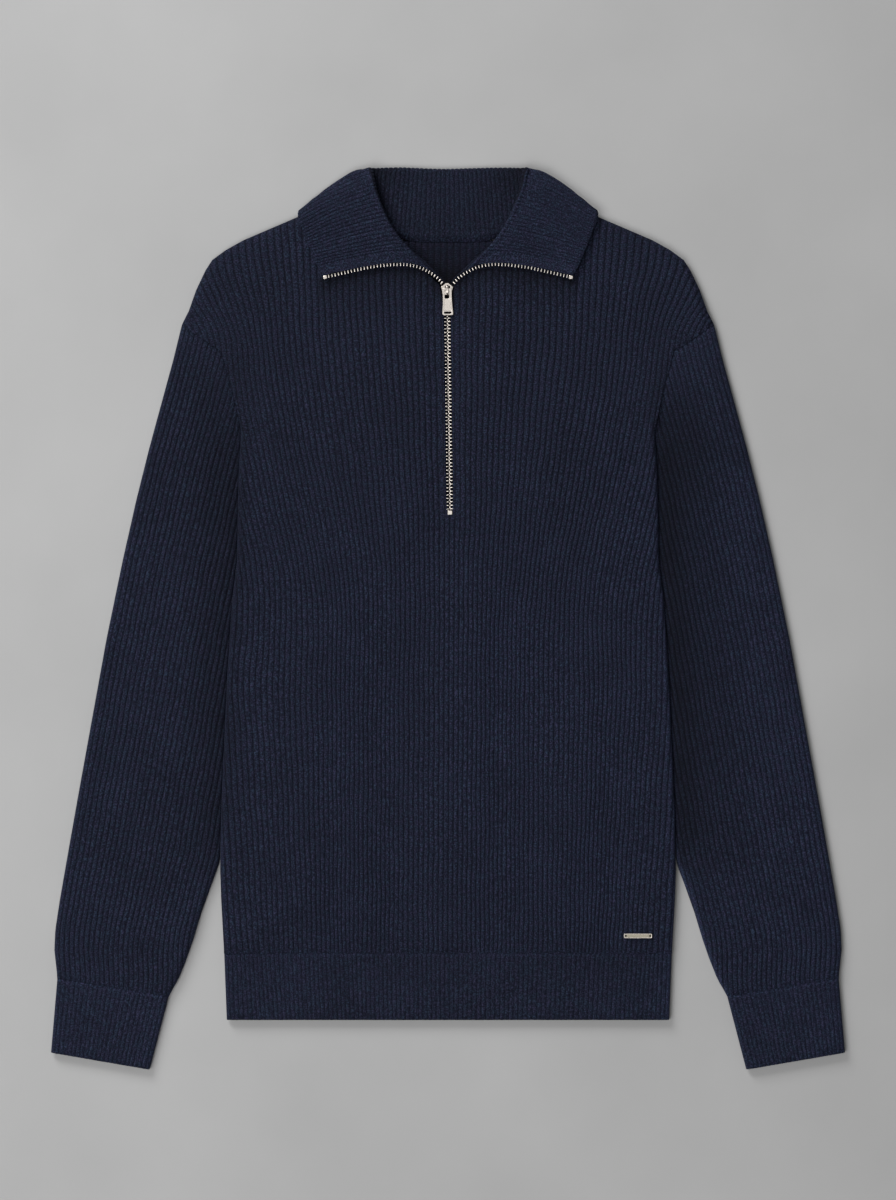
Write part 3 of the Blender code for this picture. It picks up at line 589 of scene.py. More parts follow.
@dataclass
class Shape:
    """A mesh in the making, in millimetres, with a rib coordinate for each face corner and painted light
    and shade at each point.
    """

    weld: float = 0.002         # points that lie closer than this are joined
    points: list[np.ndarray] = field(default_factory=list)
    faces: list[list[int]] = field(default_factory=list)
    uvs: list[tuple[float, float]] = field(default_factory=list)
    count: int = 0
    vertex_uv: dict[int, tuple[float, float]] = field(default_factory=dict)
    painted_light: list[np.ndarray] = field(default_factory=list)

    def grid(
        self,
        points: np.ndarray,
        uv: np.ndarray,
        closed: bool = False,
        flip: bool = False,
        tone: np.ndarray | float = 1.0,
    ) -> np.ndarray:
        """Add a grid of quads.

        Args:
            points: array of rows and columns of points.
            uv: array of rows and columns of coordinates, one column more where the grid is closed.
            closed: whether each row joins its own start.
            flip: whether the faces turn the other way.
            tone: painted light and shade at each point, as a factor on the cloth's colour, 1 for none.

        Returns:
            The numbers of the grid's points.
        """
        rows, columns = points.shape[:2]
        self.painted_light.append((np.zeros((rows, columns)) + tone).reshape(-1))
        ids = self.count + np.arange(rows * columns).reshape(rows, columns)
        self.points.append(points.reshape(-1, 3))
        self.count += rows * columns
        flat = uv[:, :columns].reshape(-1, 2)
        self.vertex_uv.update(zip(ids.reshape(-1).tolist(), map(tuple, flat.tolist())))
        wide = np.concatenate([ids, ids[:, :1]], axis=1) if closed else ids
        corners = [(0, 0), (0, 1), (1, 1), (1, 0)]
        if flip:
            corners.reverse()
        last = wide.shape[1]
        spans = [(slice(r, rows - 1 + r), slice(c, last - 1 + c)) for r, c in corners]
        quads = np.stack([wide[span] for span in spans], axis=-1)
        pairs = np.stack([uv[span] for span in spans], axis=-2)
        self.faces.extend(quads.reshape(-1, 4).tolist())
        self.uvs.extend(map(tuple, pairs.reshape(-1, 2).tolist()))
        return ids

    def stitch(self, first: np.ndarray, second: np.ndarray) -> None:
        """Fill the strip between two runs of points that may differ in number.

        Args:
            first: numbers of the points of one run.
            second: numbers of the points of the other.
        """
        every = np.concatenate(self.points)
        one, other = [[int(n) for n in run] for run in (first, second)]
        marks, other_marks = shares(every[one]), shares(every[other])
        i = j = 0
        while i < len(one) - 1 or j < len(other) - 1:
            ended = j == len(other) - 1
            if ended or (i < len(one) - 1 and marks[i + 1] <= other_marks[j + 1]):
                corners = [one[i], one[i + 1], other[j]]
                i += 1
            else:
                corners = [one[i], other[j + 1], other[j]]
                j += 1
            self.faces.append(corners)
            self.uvs.extend(self.vertex_uv[corner] for corner in corners)

    def build(self, name: str, finish: bpy.types.Material) -> bpy.types.Object:
        """Make the object, in metres.

        Args:
            name: the object's name.
            finish: its material.

        Returns:
            The new object.
        """
        mesh = bpy.data.meshes.new(name)
        mesh.from_pydata((np.concatenate(self.points) * MM).tolist(), [], self.faces)
        layer = mesh.uv_layers.new(name="ribs")
        layer.data.foreach_set("uv", np.array(self.uvs, dtype=np.float32).reshape(-1))
        # painted light and shade, which the knit's material multiplies into its colour
        tone = mesh.attributes.new("tone", "FLOAT", "POINT")
        tone.data.foreach_set("value", np.concatenate(self.painted_light).astype(np.float32))
        work = bmesh.new()
        work.from_mesh(mesh)
        bmesh.ops.remove_doubles(work, verts=work.verts, dist=self.weld * MM)
        bmesh.ops.dissolve_degenerate(work, edges=work.edges, dist=self.weld * MM * 0.5)
        bmesh.ops.recalc_face_normals(work, faces=work.faces)
        work.to_mesh(mesh)
        work.free()
        mesh.materials.append(finish)
        mesh.shade_smooth()
        return new_object(name, mesh)


# ---------------------------------------------------------------- finishes


def start_material(name: str) -> tuple[bpy.types.Material, bpy.types.NodeTree, bpy.types.Node]:
    """Start a material and return it with its node tree and its shader.

    Args:
        name: the material's name.

    Returns:
        The material, its node tree and its shader.
    """
    made = bpy.data.materials.new(name)
    made.use_nodes = True
    return made, made.node_tree, made.node_tree.nodes["Principled BSDF"]


def set_inputs(node: bpy.types.Node, inputs: dict[int | str, object]) -> None:
    """Give a node's inputs their values, or link them from a socket or a node's first output.

    Args:
        node: the node.
        inputs: values, nodes or sockets, by input name or number.
    """
    for key, value in inputs.items():
        if isinstance(value, bpy.types.Node):
            value = value.outputs[0]
        if isinstance(value, bpy.types.NodeSocket):
            node.id_data.links.new(value, node.inputs[key])
        else:
            node.inputs[key].default_value = value


def add_node(
    tree: bpy.types.NodeTree,
    kind: str,
    inputs: dict[int | str, object] | None = None,
    **settings: str,
) -> bpy.types.Node:
    """Add a node with its settings and its inputs.

    Args:
        tree: the material's node tree.
        kind: the node's type, without the words that every shader node's type starts with.
        inputs: values, or nodes and sockets to link from, by input name or number.
        settings: attributes to set.

    Returns:
        The new node.
    """
    node = tree.nodes.new(f"ShaderNode{kind}")
    for key, value in settings.items():
        setattr(node, key, value)
    set_inputs(node, inputs or {})
    return node


@dataclass(frozen=True)
class RibKnit:
    """Carded wool and cotton yarn in navy melange, knitted in ribs: matt, with short fuzz on its crests."""

    name: str = "rib_knit"
    crest: str = "#101322"
    # the grooves between the ribs are darkened towards this colour, as painted shade
    groove_shade_colour: str = "#070811"
    # the pale fibres are dyed in two lots, one greener and one more violet
    fleck_green: str = "#2f3c51"
    fleck_violet: str = "#363751"
    fleck_mm: float = 1.1
    fleck_range: tuple[float, float] = (0.43, 0.70)
    lot_mm: float = 4.5
    cloud_scale: float = 26.0           # paler and darker clouds of dye, about 38 mm wide
    cloud_tone: tuple[float, float] = (0.90, 1.08)
    course_mm: float = 1.9              # drawn coarser than the real 1.3 mm courses, so that they show
    course_lean: float = 0.42
    stitch_depth_mm: float = 0.22
    stitch_share: float = 0.5
    yarn_share: float = 0.9
    groove_shade: float = 0.62
    groove_narrow: float = 11.0
    fuzz: str = "#5f6a92"

    def make(self) -> bpy.types.Material:
        """Make the material."""
        made, tree, shader = start_material(self.name)
        ribs = add_node(tree, "UVMap", uv_map="ribs")
        place = add_node(tree, "TexCoord").outputs["Object"]
        split = add_node(tree, "SeparateXYZ", {0: ribs})
        # painted light and shade, carried on the mesh as its tone attribute
        tone = add_node(tree, "Attribute", attribute_name="tone")
        # how far a point lies down in a groove: 1 at its bottom, 0 on the crest
        turn = add_node(tree, "Math", {0: split, 1: math.pi}, operation="MULTIPLY")
        wave = add_node(tree, "Math", {0: turn}, operation="COSINE")
        size = add_node(tree, "Math", {0: wave}, operation="ABSOLUTE")
        groove = add_node(tree, "Math", {0: size, 1: self.groove_narrow}, operation="POWER")
        # stitches lean towards the middle of the rib, as the legs of knit loops do
        lean = add_node(tree, "Math", {0: size, 1: self.course_lean}, operation="MULTIPLY")
        course = add_node(tree, "Math", {0: split.outputs[1], 1: self.course_mm}, operation="DIVIDE")
        leaned = add_node(tree, "Math", {0: course, 1: lean}, operation="ADD")
        turned = add_node(tree, "Math", {0: leaned, 1: math.tau}, operation="MULTIPLY")
        stitch = add_node(tree, "Math", {0: turned}, operation="SINE")
        fleck_scale, lot_scale = 1.0 / (self.fleck_mm * MM), 1.0 / (self.lot_mm * MM)
        fibres = {"Vector": place, "Scale": fleck_scale, "Detail": 3.0, "Roughness": 0.65}
        yarn = add_node(tree, "TexNoise", fibres)
        cloud = add_node(tree, "TexNoise", {"Vector": place, "Scale": self.cloud_scale, "Detail": 2.0})
        lots = add_node(tree, "TexNoise", {"Vector": place, "Scale": lot_scale, "Detail": 1.0})
        start, full = self.fleck_range
        fleck_range = {0: yarn, 1: start, 2: full, 3: 0.0, 4: 1.0}
        fleck = add_node(tree, "MapRange", fleck_range, interpolation_type="SMOOTHSTEP")
        dark, pale = self.cloud_tone
        shade = add_node(tree, "MapRange", {0: cloud, 1: 0.3, 2: 0.7, 3: dark, 4: pale})
        lot = add_node(tree, "MapRange", {0: lots, 1: 0.4, 2: 0.6, 3: 0.0, 4: 1.0})
        two_lots = {0: lot, 6: linear(self.fleck_green), 7: linear(self.fleck_violet)}
        fibre = add_node(tree, "Mix", two_lots, data_type="RGBA")
        melange = {0: fleck, 6: linear(self.crest), 7: fibre.outputs[2]}
        coloured = add_node(tree, "Mix", melange, data_type="RGBA")
        # painted shade in the grooves between the ribs
        deep = add_node(tree, "Math", {0: groove, 1: self.groove_shade}, operation="MULTIPLY")
        in_grooves = {0: deep, 6: coloured.outputs[2], 7: linear(self.groove_shade_colour)}
        grooved = add_node(tree, "Mix", in_grooves, data_type="RGBA")
        # the dye's clouds, times the painted light and shade
        dimmed = add_node(tree, "Math", {0: shade, 1: tone.outputs["Fac"]}, operation="MULTIPLY")
        toned = add_node(tree, "VectorMath", {0: grooved.outputs[2], 3: dimmed}, operation="SCALE")
        rough = add_node(tree, "Math", {0: yarn, 1: self.yarn_share}, operation="MULTIPLY")
        heights = {0: stitch, 1: self.stitch_share, 2: rough}
        surface = add_node(tree, "Math", heights, operation="MULTIPLY_ADD")
        depth = self.stitch_depth_mm * MM
        bump = add_node(tree, "Bump", {"Strength": 0.9, "Distance": depth, "Height": surface})
        look = {
            "Base Color": toned,
            "Normal": bump,
            "Roughness": 0.92,
            "Specular IOR Level": 0.15,
            "Sheen Weight": 0.22,
            "Sheen Roughness": 0.45,
            "Sheen Tint": linear(self.fuzz),
        }
        set_inputs(shader, look)
        return made


@dataclass(frozen=True)
class WovenTape:
    """Woven polyester zip tape in navy: a fine, flat herringbone with little sheen."""

    name: str = "zip_tape"
    colour: str = "#151a2c"
    between: str = "#0c0f1b"
    thread_mm: float = 0.8

    def make(self) -> bpy.types.Material:
        """Make the material."""
        made, tree, shader = start_material(self.name)
        place = add_node(tree, "TexCoord").outputs["Object"]
        threads = {"Vector": place, "Scale": 0.16 / (self.thread_mm * MM), "Distortion": 0.4}
        weave = add_node(tree, "TexWave", threads, bands_direction="DIAGONAL").outputs[1]
        bump = add_node(tree, "Bump", {"Strength": 0.6, "Distance": 0.0002, "Height": weave})
        colours = {0: weave, 6: linear(self.between), 7: linear(self.colour)}
        tone = add_node(tree, "Mix", colours, data_type="RGBA").outputs[2]
        look = {"Base Color": tone, "Normal": bump, "Roughness": 0.8, "Specular IOR Level": 0.25}
        set_inputs(shader, look)
        return made


@dataclass(frozen=True)
class NickelPlate:
    """Nickel-plated brass, tumbled and lacquered: warm pale metal with soft reflections."""

    name: str = "nickel"
    colour: str = "#f3ede6"
    worn: str = "#d3c9bf"
    roughness: float = 0.26
    grain_mm: float = 0.7

    def make(self) -> bpy.types.Material:
        """Make the material."""
        made, tree, shader = start_material(self.name)
        place = add_node(tree, "TexCoord").outputs["Object"]
        scale = 1.0 / (self.grain_mm * MM)
        grain = add_node(tree, "TexNoise", {"Vector": place, "Scale": scale, "Detail": 4.0})
        colours = {0: grain, 6: linear(self.colour), 7: linear(self.worn)}
        tone = add_node(tree, "Mix", colours, data_type="RGBA").outputs[2]
        smooth, dull = self.roughness - 0.06, self.roughness + 0.14
        roughness = add_node(tree, "MapRange", {0: grain, 1: 0.3, 2: 0.7, 3: smooth, 4: dull})
        bump = add_node(tree, "Bump", {"Strength": 0.15, "Distance": 0.0001, "Height": grain})
        set_inputs(shader, {"Base Color": tone, "Roughness": roughness, "Normal": bump, "Metallic": 1.0})
        return made


@dataclass
class Finishes:
    """All finishes, made once."""

    made: dict[Finish, bpy.types.Material] = field(default_factory=dict)

    def build(self) -> None:
        """Make every finish."""
        band = RibKnit("band_knit", groove_shade_colour="#070a13", groove_shade=0.35, stitch_depth_mm=0.2)
        # a darker copy of the knit, as painted shade inside the neck
        inside = RibKnit("shaded_inside_knit", "#0e101f", fleck_green="#1b2635", fleck_violet="#232134")
        recipes = {
            Finish.RIB_KNIT: RibKnit(),
            Finish.BAND_KNIT: band,
            Finish.COLLAR_KNIT: RibKnit("collar_knit", groove_shade=0.3),
            Finish.SHADED_INSIDE_KNIT: inside,
            Finish.ZIP_TAPE: WovenTape(),
            Finish.NICKEL: NickelPlate(),
            # the bar's face, drawn in a greyer, rougher nickel than its rim
            Finish.GREY_NICKEL: NickelPlate("grey_nickel", "#b9b2a2", "#8f8978", 0.4),
            # near-black plates put under holes and slots, as painted shade
            Finish.PAINTED_SHADE: NickelPlate("painted_shade", "#0d0b0a", "#171411", 0.7),
        }
        for finish, recipe in recipes.items():
            self.made[finish] = recipe.make()

    def of(self, finish: Finish) -> bpy.types.Material:
        """Return a finish's material."""
        return self.made[finish]


# ---------------------------------------------------------------- cloth


@dataclass
class Body:
    """The front and the back, which meet at the sides."""

    finishes: Finishes
    row_step: float = 4.6
    edge_round: float = 4.5
    skirt: tuple = ((0.0, 3.0), (0.5, 1.5), (2.2, 0.5))     # the turned-down side: how far in, height
    wander: tuple[float, float] = (0.3, 0.2)                # of the front's and of the back's ribs
    lining_columns: int = 24
    lining_rows: int = 5
    lining_top: float = 5.6
    back_relief: float = 0.7
    underside_relief: float = 0.6

    def folds(self, x: np.ndarray, y: np.ndarray | float) -> np.ndarray:
        """Depth of the soft folds at points.

        Args:
            x: the points' x.
            y: the points' y.

        Returns:
            The depth at each point.
        """
        depth = np.zeros(np.broadcast(x, y).shape)
        for x_top, x_low, y_top, y_low, width, fold in FRONT_FOLDS:
            along = (y_top - y) / (y_top - y_low)
            middle = x_top + (x_low - x_top) * along
            # a fold that reaches the hem band runs on to it
            end = 1.0 if y_low < -280.0 else ease((1.0 - along) * 4.0)
            fade = np.where((along > 0.0) & (along < 1.0), ease(along * 4.0) * end, 0.0)
            depth += fold * fade * bell(x - middle, width)
        return depth

    def reach(self, sign: int, y: float, ribs: np.ndarray) -> np.ndarray:
        """Distance from the centre line to each rib at one height.

        Args:
            sign: side of the garment.
            y: height up the garment.
            ribs: rib numbers from the centre.

        Returns:
            The distances, which always grow.
        """
        step = 2.0
        grid = np.arange(0.0, 262.0, step)
        rows = np.array(UPPER_PITCH[::-1])
        upper = np.interp(grid, PITCH_PLACES, hermite(rows[:, 0], rows[:, 1:], np.array([y]))[0])
        lower = read(LOWER_PITCH, sign * grid)
        share = float(ease((75.0 - y) / 140.0))
        pitch = upper * (1.0 - share) + lower * share
        counted = np.concatenate([[0.0], np.cumsum(2.0 * step / (pitch[1:] + pitch[:-1]))])
        place = np.interp(ribs, counted, grid)
        # low down, the ribs near the sides lean towards the middle
        lean = float(read(RIB_LEAN, y)) * float(ease((80.0 - y) / 140.0))
        return place - lean * ease((place - 70.0) / 110.0)

    def top(self, x: np.ndarray, y: float) -> np.ndarray:
        """Height of the front between its ribs.

        Args:
            x: the points' x.
            y: height of their row up the garment.

        Returns:
            The height at each point.
        """
        from_zip = np.abs(x - read(ZIP_LINE, y))
        beside_zip = (1.0 - ease((from_zip - 5.0) / 22.0)) * ease((y - SLIT_BOTTOM + 45.0) / 45.0)
        paths = (BODY_SIDE, BODY_SHOULDER, ARMHOLE)
        side, shoulder, arm = [path_distance(np.abs(x), y, path) for path in paths]
        full = FRONT_HEIGHT + 0.5 * bell(side, 40.0) - self.folds(x, y) + unevenness(x, y)
        full = full + beside_zip * (ZIP_HEIGHT - FRONT_HEIGHT)
        full = full - 0.5 * (1.0 - ease(arm / 4.0)) - 0.9 * (1.0 - ease((y - HEM_SEAM) / 14.0))
        curl = np.minimum(rounded(side, self.edge_round), rounded(shoulder, self.edge_round))
        return FRONT_EDGE + (full - FRONT_EDGE) * curl

    def ribbed(self, x: np.ndarray, y: float, ribs: np.ndarray) -> np.ndarray:
        """Height of the front with its ribs, which sink into the seams and beside the zip's tapes.

        Args:
            x: the points' x.
            y: height of their row up the garment.
            ribs: rib number at each.

        Returns:
            The height at each point.
        """
        from_zip = np.abs(x - float(read(ZIP_LINE, y)))
        beside = ease((from_zip - 6.5) / 4.0) if y > SLIT_BOTTOM else 1.0
        arm = path_distance(np.abs(x), y, ARMHOLE)
        soft = 1.0 - 0.45 * (1.0 - ease(arm / ARMHOLE_SOFT))
        return self.top(x, y) + relief(ribs) * beside * sewn((y - HEM_SEAM) / 3.0) * soft

    def tone(self, x: np.ndarray, y: float) -> np.ndarray:
        """Painted light and shade on the front: darker high up, beside the left sleeve and under the
        collar's front edges, lighter towards the right.

        Args:
            x: the points' x.
            y: height of their row up the garment.

        Returns:
            The painted light at each point, as a factor on the colour, 1 for none.
        """
        out = np.abs(x)
        side, edge = [path_distance(out, y, path) for path in (BODY_SIDE, ROW_PLAN)]
        below = (y < read(ZIP_ROW, out)) & (out < 110.0)
        beside_sleeve = ease((y + 220.0) / 90.0) * ease((200.0 - y) / 60.0)
        changes = (
            0.05 * x / 200.0,
            -0.3 * (x < 0.0) * beside_sleeve * bell(side, 9.0),
            0.14 * spot(x, y, LIT_SPOT),
            -0.18 * spot(out, y, ARM_SHADE),
            # painted light on the free side away from the lamps, and along the linked hem seam
            0.45 * (x > 0.0) * bell(side, 4.0) * ease((140.0 - y) / 60.0),
            0.2 * bell(y - HEM_SEAM, 2.5),
            -(0.4 * bell(edge, 11.0) + 0.17 * bell(edge, 34.0)) * below,
        )
        return read(FRONT_PAINTED_LIGHT, y) * math.prod(1.0 + change for change in changes)

    def rows(self, fixed: tuple[float, ...]) -> np.ndarray:
        """Heights of the rows of points, through every fixed one.

        Args:
            fixed: heights that a row has to lie at, growing.

        Returns:
            The height of every row.
        """
        heights: list[float] = []
        for low, high in zip(fixed[:-1], fixed[1:]):
            count = max(1, round((high - low) / self.row_step))
            heights.extend(low + (high - low) * i / count for i in range(count))
        return np.array(heights + [fixed[-1]])

    def half_row(
        self,
        sign: int,
        y: float,
        ribs: np.ndarray,
        opening: Table,
        bottom: float,
        wander: float,
    ) -> tuple[np.ndarray, np.ndarray]:
        """Points of one half row, from the centre to the side.

        Args:
            sign: side of the garment.
            y: height of the row.
            ribs: rib numbers of the columns.
            opening: half widths of the opening above the bottom of the neck or slit.
            bottom: height where that opening starts.
            wander: size of the ribs' sideways wander.

        Returns:
            The points' x, and the rib number at each.
        """
        outer = float(read(BODY_ROWS, y))
        inner = min(float(read(opening, y)), outer) if y > bottom else 0.0
        reach = self.reach(sign, y, ribs)
        room = ease(reach / 12.0) * ease((outer - reach) / 12.0)
        reach = np.maximum.accumulate(reach + waver(ribs * sign, y, wander) * room)
        x = np.clip(reach, inner, outer)
        x[-1] = outer
        number = np.interp(x, reach + np.arange(len(reach)) * 1e-7, ribs)
        middle = float(read(ZIP_LINE, y))
        return sign * x + middle * (1.0 - x / outer), number

    def lining(self, x: np.ndarray, y: float) -> np.ndarray:
        """Points of the front's inner side, drawn in at the sides and clear of the back.

        Args:
            x: x of the row's points, from the centre to the side.
            y: height of the row.

        Returns:
            The points.
        """
        side = abs(x[-1])
        drawn_in = x * (1.0 - 2.5 / max(side, 3.0) * (np.abs(x) > 0.9 * side))
        z = np.clip(self.top(x, y) - WALL - GROOVE, BACK_TOP + SEAM, self.lining_top)
        return level_row(drawn_in, y, z)

    def front(self) -> bpy.types.Object:
        """Build the front, whose side edges turn down to the floor."""
        shape = Shape()
        ribs = rib_columns(BODY_RIBS)
        heights = self.rows(FRONT_ROWS)
        slit = int(np.where(heights == SLIT_BOTTOM)[0][0])
        lined = sorted({*range(0, len(heights), self.lining_rows), slit, len(heights) - 1})
        down = np.linspace(0.3, 0.9, len(self.skirt))
        for sign in (-1, 1):
            outer, uv, inner, inner_uv, painted_light = [], [], [], [], []
            for number, y in enumerate(heights):
                x, u = self.half_row(sign, y, ribs, FRONT_OPENING, SLIT_BOTTOM, self.wander[0])
                skirt = [(x[-1] - sign * inwards, y, z) for inwards, z in self.skirt]
                outer.append(np.concatenate([level_row(x, y, self.ribbed(x, y, u)), skirt]))
                painted_light.append(np.concatenate([self.tone(x, y), np.ones(len(skirt))]))
                uv.append(pair(np.concatenate([u * sign, u[-1] * sign + down]), y))
                if number in lined:
                    inner.append(self.lining(x[:: self.lining_columns], y))
                    inner_uv.append(pair(u[:: self.lining_columns] * sign, y))
            ids = shape.grid(np.array(outer), np.array(uv), flip=sign < 0, tone=np.array(painted_light))
            low = shape.grid(np.array(inner), np.array(inner_uv), flip=sign > 0)
            shape.stitch(ids[0], low[0])
            shape.stitch(ids[:, -1], low[:, -1])
            shape.stitch(ids[slit:, 0], low[lined.index(slit) :, 0])
        made = shape.build("front", self.finishes.of(Finish.RIB_KNIT))
        stand_for(made, "front_panel")
        return made

    def back(self) -> bpy.types.Object:
        """Build the back, ribbed inside and out, with its underside flat on the floor."""
        shape = Shape()
        ribs = rib_columns(BODY_RIBS)[::2]
        heights = self.rows(BACK_ROWS)
        # the rows lie three times wider apart where the front covers them
        covered = 90
        heights = np.concatenate([heights[:covered:3], heights[covered:]])
        start = int(np.where(heights == NECKLINE_BACK)[0][0])
        for sign in (-1, 1):
            upper, lower, uv, painted_light = [], [], [], []
            for y in heights:
                x, u = self.half_row(sign, y, ribs, BACK_OPENING, NECKLINE_BACK, self.wander[1])
                side = abs(x[-1])
                x = x * (1.0 - 1.6 / max(side, 60.0) * (np.abs(x) > 0.97 * side))
                under_neck = ease((y - 306.0) / 12.0) * (y < NECKLINE_BACK + 0.1)
                seam = 1.2 * under_neck * ease((52.0 - np.abs(x)) / 6.0)
                z = BACK_TOP - self.back_relief + self.back_relief * ridge(u) + seam
                upper.append(level_row(x, y, z))
                lower.append(level_row(x, y, self.underside_relief * (1.0 - ridge(u))))
                # painted shade on the back's inside, under where the collar's edges meet
                painted_light.append(1.0 - 0.75 * spot(x, y, NECK_SHADE))
                uv.append(pair(u * sign, y))
            top = shape.grid(np.array(upper), np.array(uv), flip=sign < 0, tone=np.array(painted_light))
            low = shape.grid(np.array(lower), np.array(uv), flip=sign > 0)
            shape.stitch(top[0], low[0])
            shape.stitch(top[:, -1], low[:, -1])
            shape.stitch(top[start:, 0], low[start:, 0])
        made = shape.build("back", self.finishes.of(Finish.RIB_KNIT))
        # painted shade: the back's upward faces, seen inside the neck, take a darker copy of the knit
        made.data.materials.append(self.finishes.of(Finish.SHADED_INSIDE_KNIT))
        for face in made.data.polygons:
            face.material_index = 1 if face.normal.z > 0.3 else 0
        stand_for(made, "back_panel")
        return made


@dataclass
class Station:
    """One line across the top of a tube, from its outer fold to its inner edge."""

    top: np.ndarray
    ribs: np.ndarray
    length: float
    # painted light and shade at each point of the top
    tone: np.ndarray


@dataclass
class Tube:
    """A flattened ribbed tube: its top, its underside on the floor and its lining."""

    name: str
    node: str
    finish: bpy.types.Material
    edges: tuple[float, float] = (BAND_EDGE, BAND_EDGE)
    low_round: float = 3.4
    lining_points: int = 14
    lining_step: int = 6

    def ring(self, top: np.ndarray, ribs: np.ndarray) -> tuple[np.ndarray, np.ndarray]:
        """Close a ring under its top line.

        Args:
            top: points across the top, from the outer fold to the inner edge.
            ribs: rib number at each.

        Returns:
            The ring's points and its rib numbers, one more than its points.
        """
        back = slice(-2, 0, -2)
        under = top[back].copy()
        span = np.linalg.norm(top[:, :2] - top[0, :2], axis=1)
        near = np.minimum(span[back], span[-1] - span[back])
        edge = np.interp(span[back], (0.0, span[-1]), self.edges)
        under[:, 2] = edge * (1.0 - rounded(near, self.low_round)) + 0.5 * (1.0 - ridge(ribs[back]))
        under[:, 2] = np.minimum(under[:, 2], top[back][:, 2] - WALL)
        numbers = np.concatenate([ribs, 2.0 * ribs[-1] - ribs[back], [2.0 * ribs[-1]]])
        return np.concatenate([top, under]), numbers

    def lining(self, top: np.ndarray) -> np.ndarray:
        """Inner ring of the wall under a top line.

        Args:
            top: points across the top.

        Returns:
            The ring's points, back and forth.
        """
        line = sample(np.linspace(0.03, 0.97, self.lining_points), np.linspace(0.0, 1.0, len(top)), top)
        upper, lower = line.copy(), line[::-1].copy()
        upper[:, 2] = np.maximum(line[:, 2] - WALL - 0.9, WALL + 0.35)
        lower[:, 2] = WALL
        lower[[0, -1], 2] = WALL + 0.2
        return np.concatenate([upper, lower])

    def build(self, stations: list[Station], side: int) -> bpy.types.Object:
        """Build the tube.

        Args:
            stations: the lines across its top, from one end to the other.
            side: 1 as made, -1 mirrored.

        Returns:
            The new object.
        """
        shape = Shape()
        outer, uv, inner, inner_uv = [], [], [], []
        for number, station in enumerate(stations):
            ring, ribs = self.ring(station.top, station.ribs)
            outer.append(ring)
            uv.append(pair(ribs, station.length))
            if number % self.lining_step == 0 or number == len(stations) - 1:
                inner.append(self.lining(station.top))
                inner_uv.append(pair(np.zeros(len(inner[-1]) + 1), station.length))
        mirror = np.array((float(side), 1.0, 1.0))
        # painted light and shade on each station's top; the underside has none
        tone = np.ones(np.array(outer).shape[:2])
        tone[:, : len(stations[0].top)] = [station.tone for station in stations]
        ids = shape.grid(np.array(outer) * mirror, np.array(uv), closed=True, tone=tone)
        low = shape.grid(np.array(inner) * mirror, np.array(inner_uv), closed=True, flip=True)
        for end in (0, -1):
            first, second = [np.append(run[end], run[end][0]) for run in (ids, low)]
            shape.stitch(first, second)
        return shape.build(self.name, self.finish)


def band_places(count: int) -> np.ndarray:
    """Shares of a band's length at which its stations lie, closer together at both ends."""
    return np.concatenate([[0.0, 0.02, 0.05], np.linspace(0.1, 0.97, count), [0.99, 1.0]])


def band_top(full: np.ndarray, near: np.ndarray, ribs: np.ndarray, shown: float) -> np.ndarray:
    """Height of the top of a cuff or of the hem band.

    Args:
        full: height between the ribs, away from the edges.
        near: distance to the nearer edge.
        ribs: rib number at each point.
        shown: part of the ribs' relief that shows.

    Returns:
        The height at each point.
    """
    z = BAND_EDGE + (full - BAND_EDGE) * rounded(near, 5.0)
    return z + relief(ribs, BAND_RIB) * ease(near / 1.5) * shown


@dataclass(frozen=True)
class SleevePaintedLight:
    """Painted light and shade on one sleeve and its cuff."""

    # each field is painted light or shade, as a factor on the colour
    level: float
    hollow: float           # darker in the hollow beside the body
    broad: float = 0.0      # darker in a wider band there
    outside: float = 0.0    # lighter towards the outer fold
    edge: float = 0.0       # lighter at the very edge beside the body
    cuff: float = 1.0


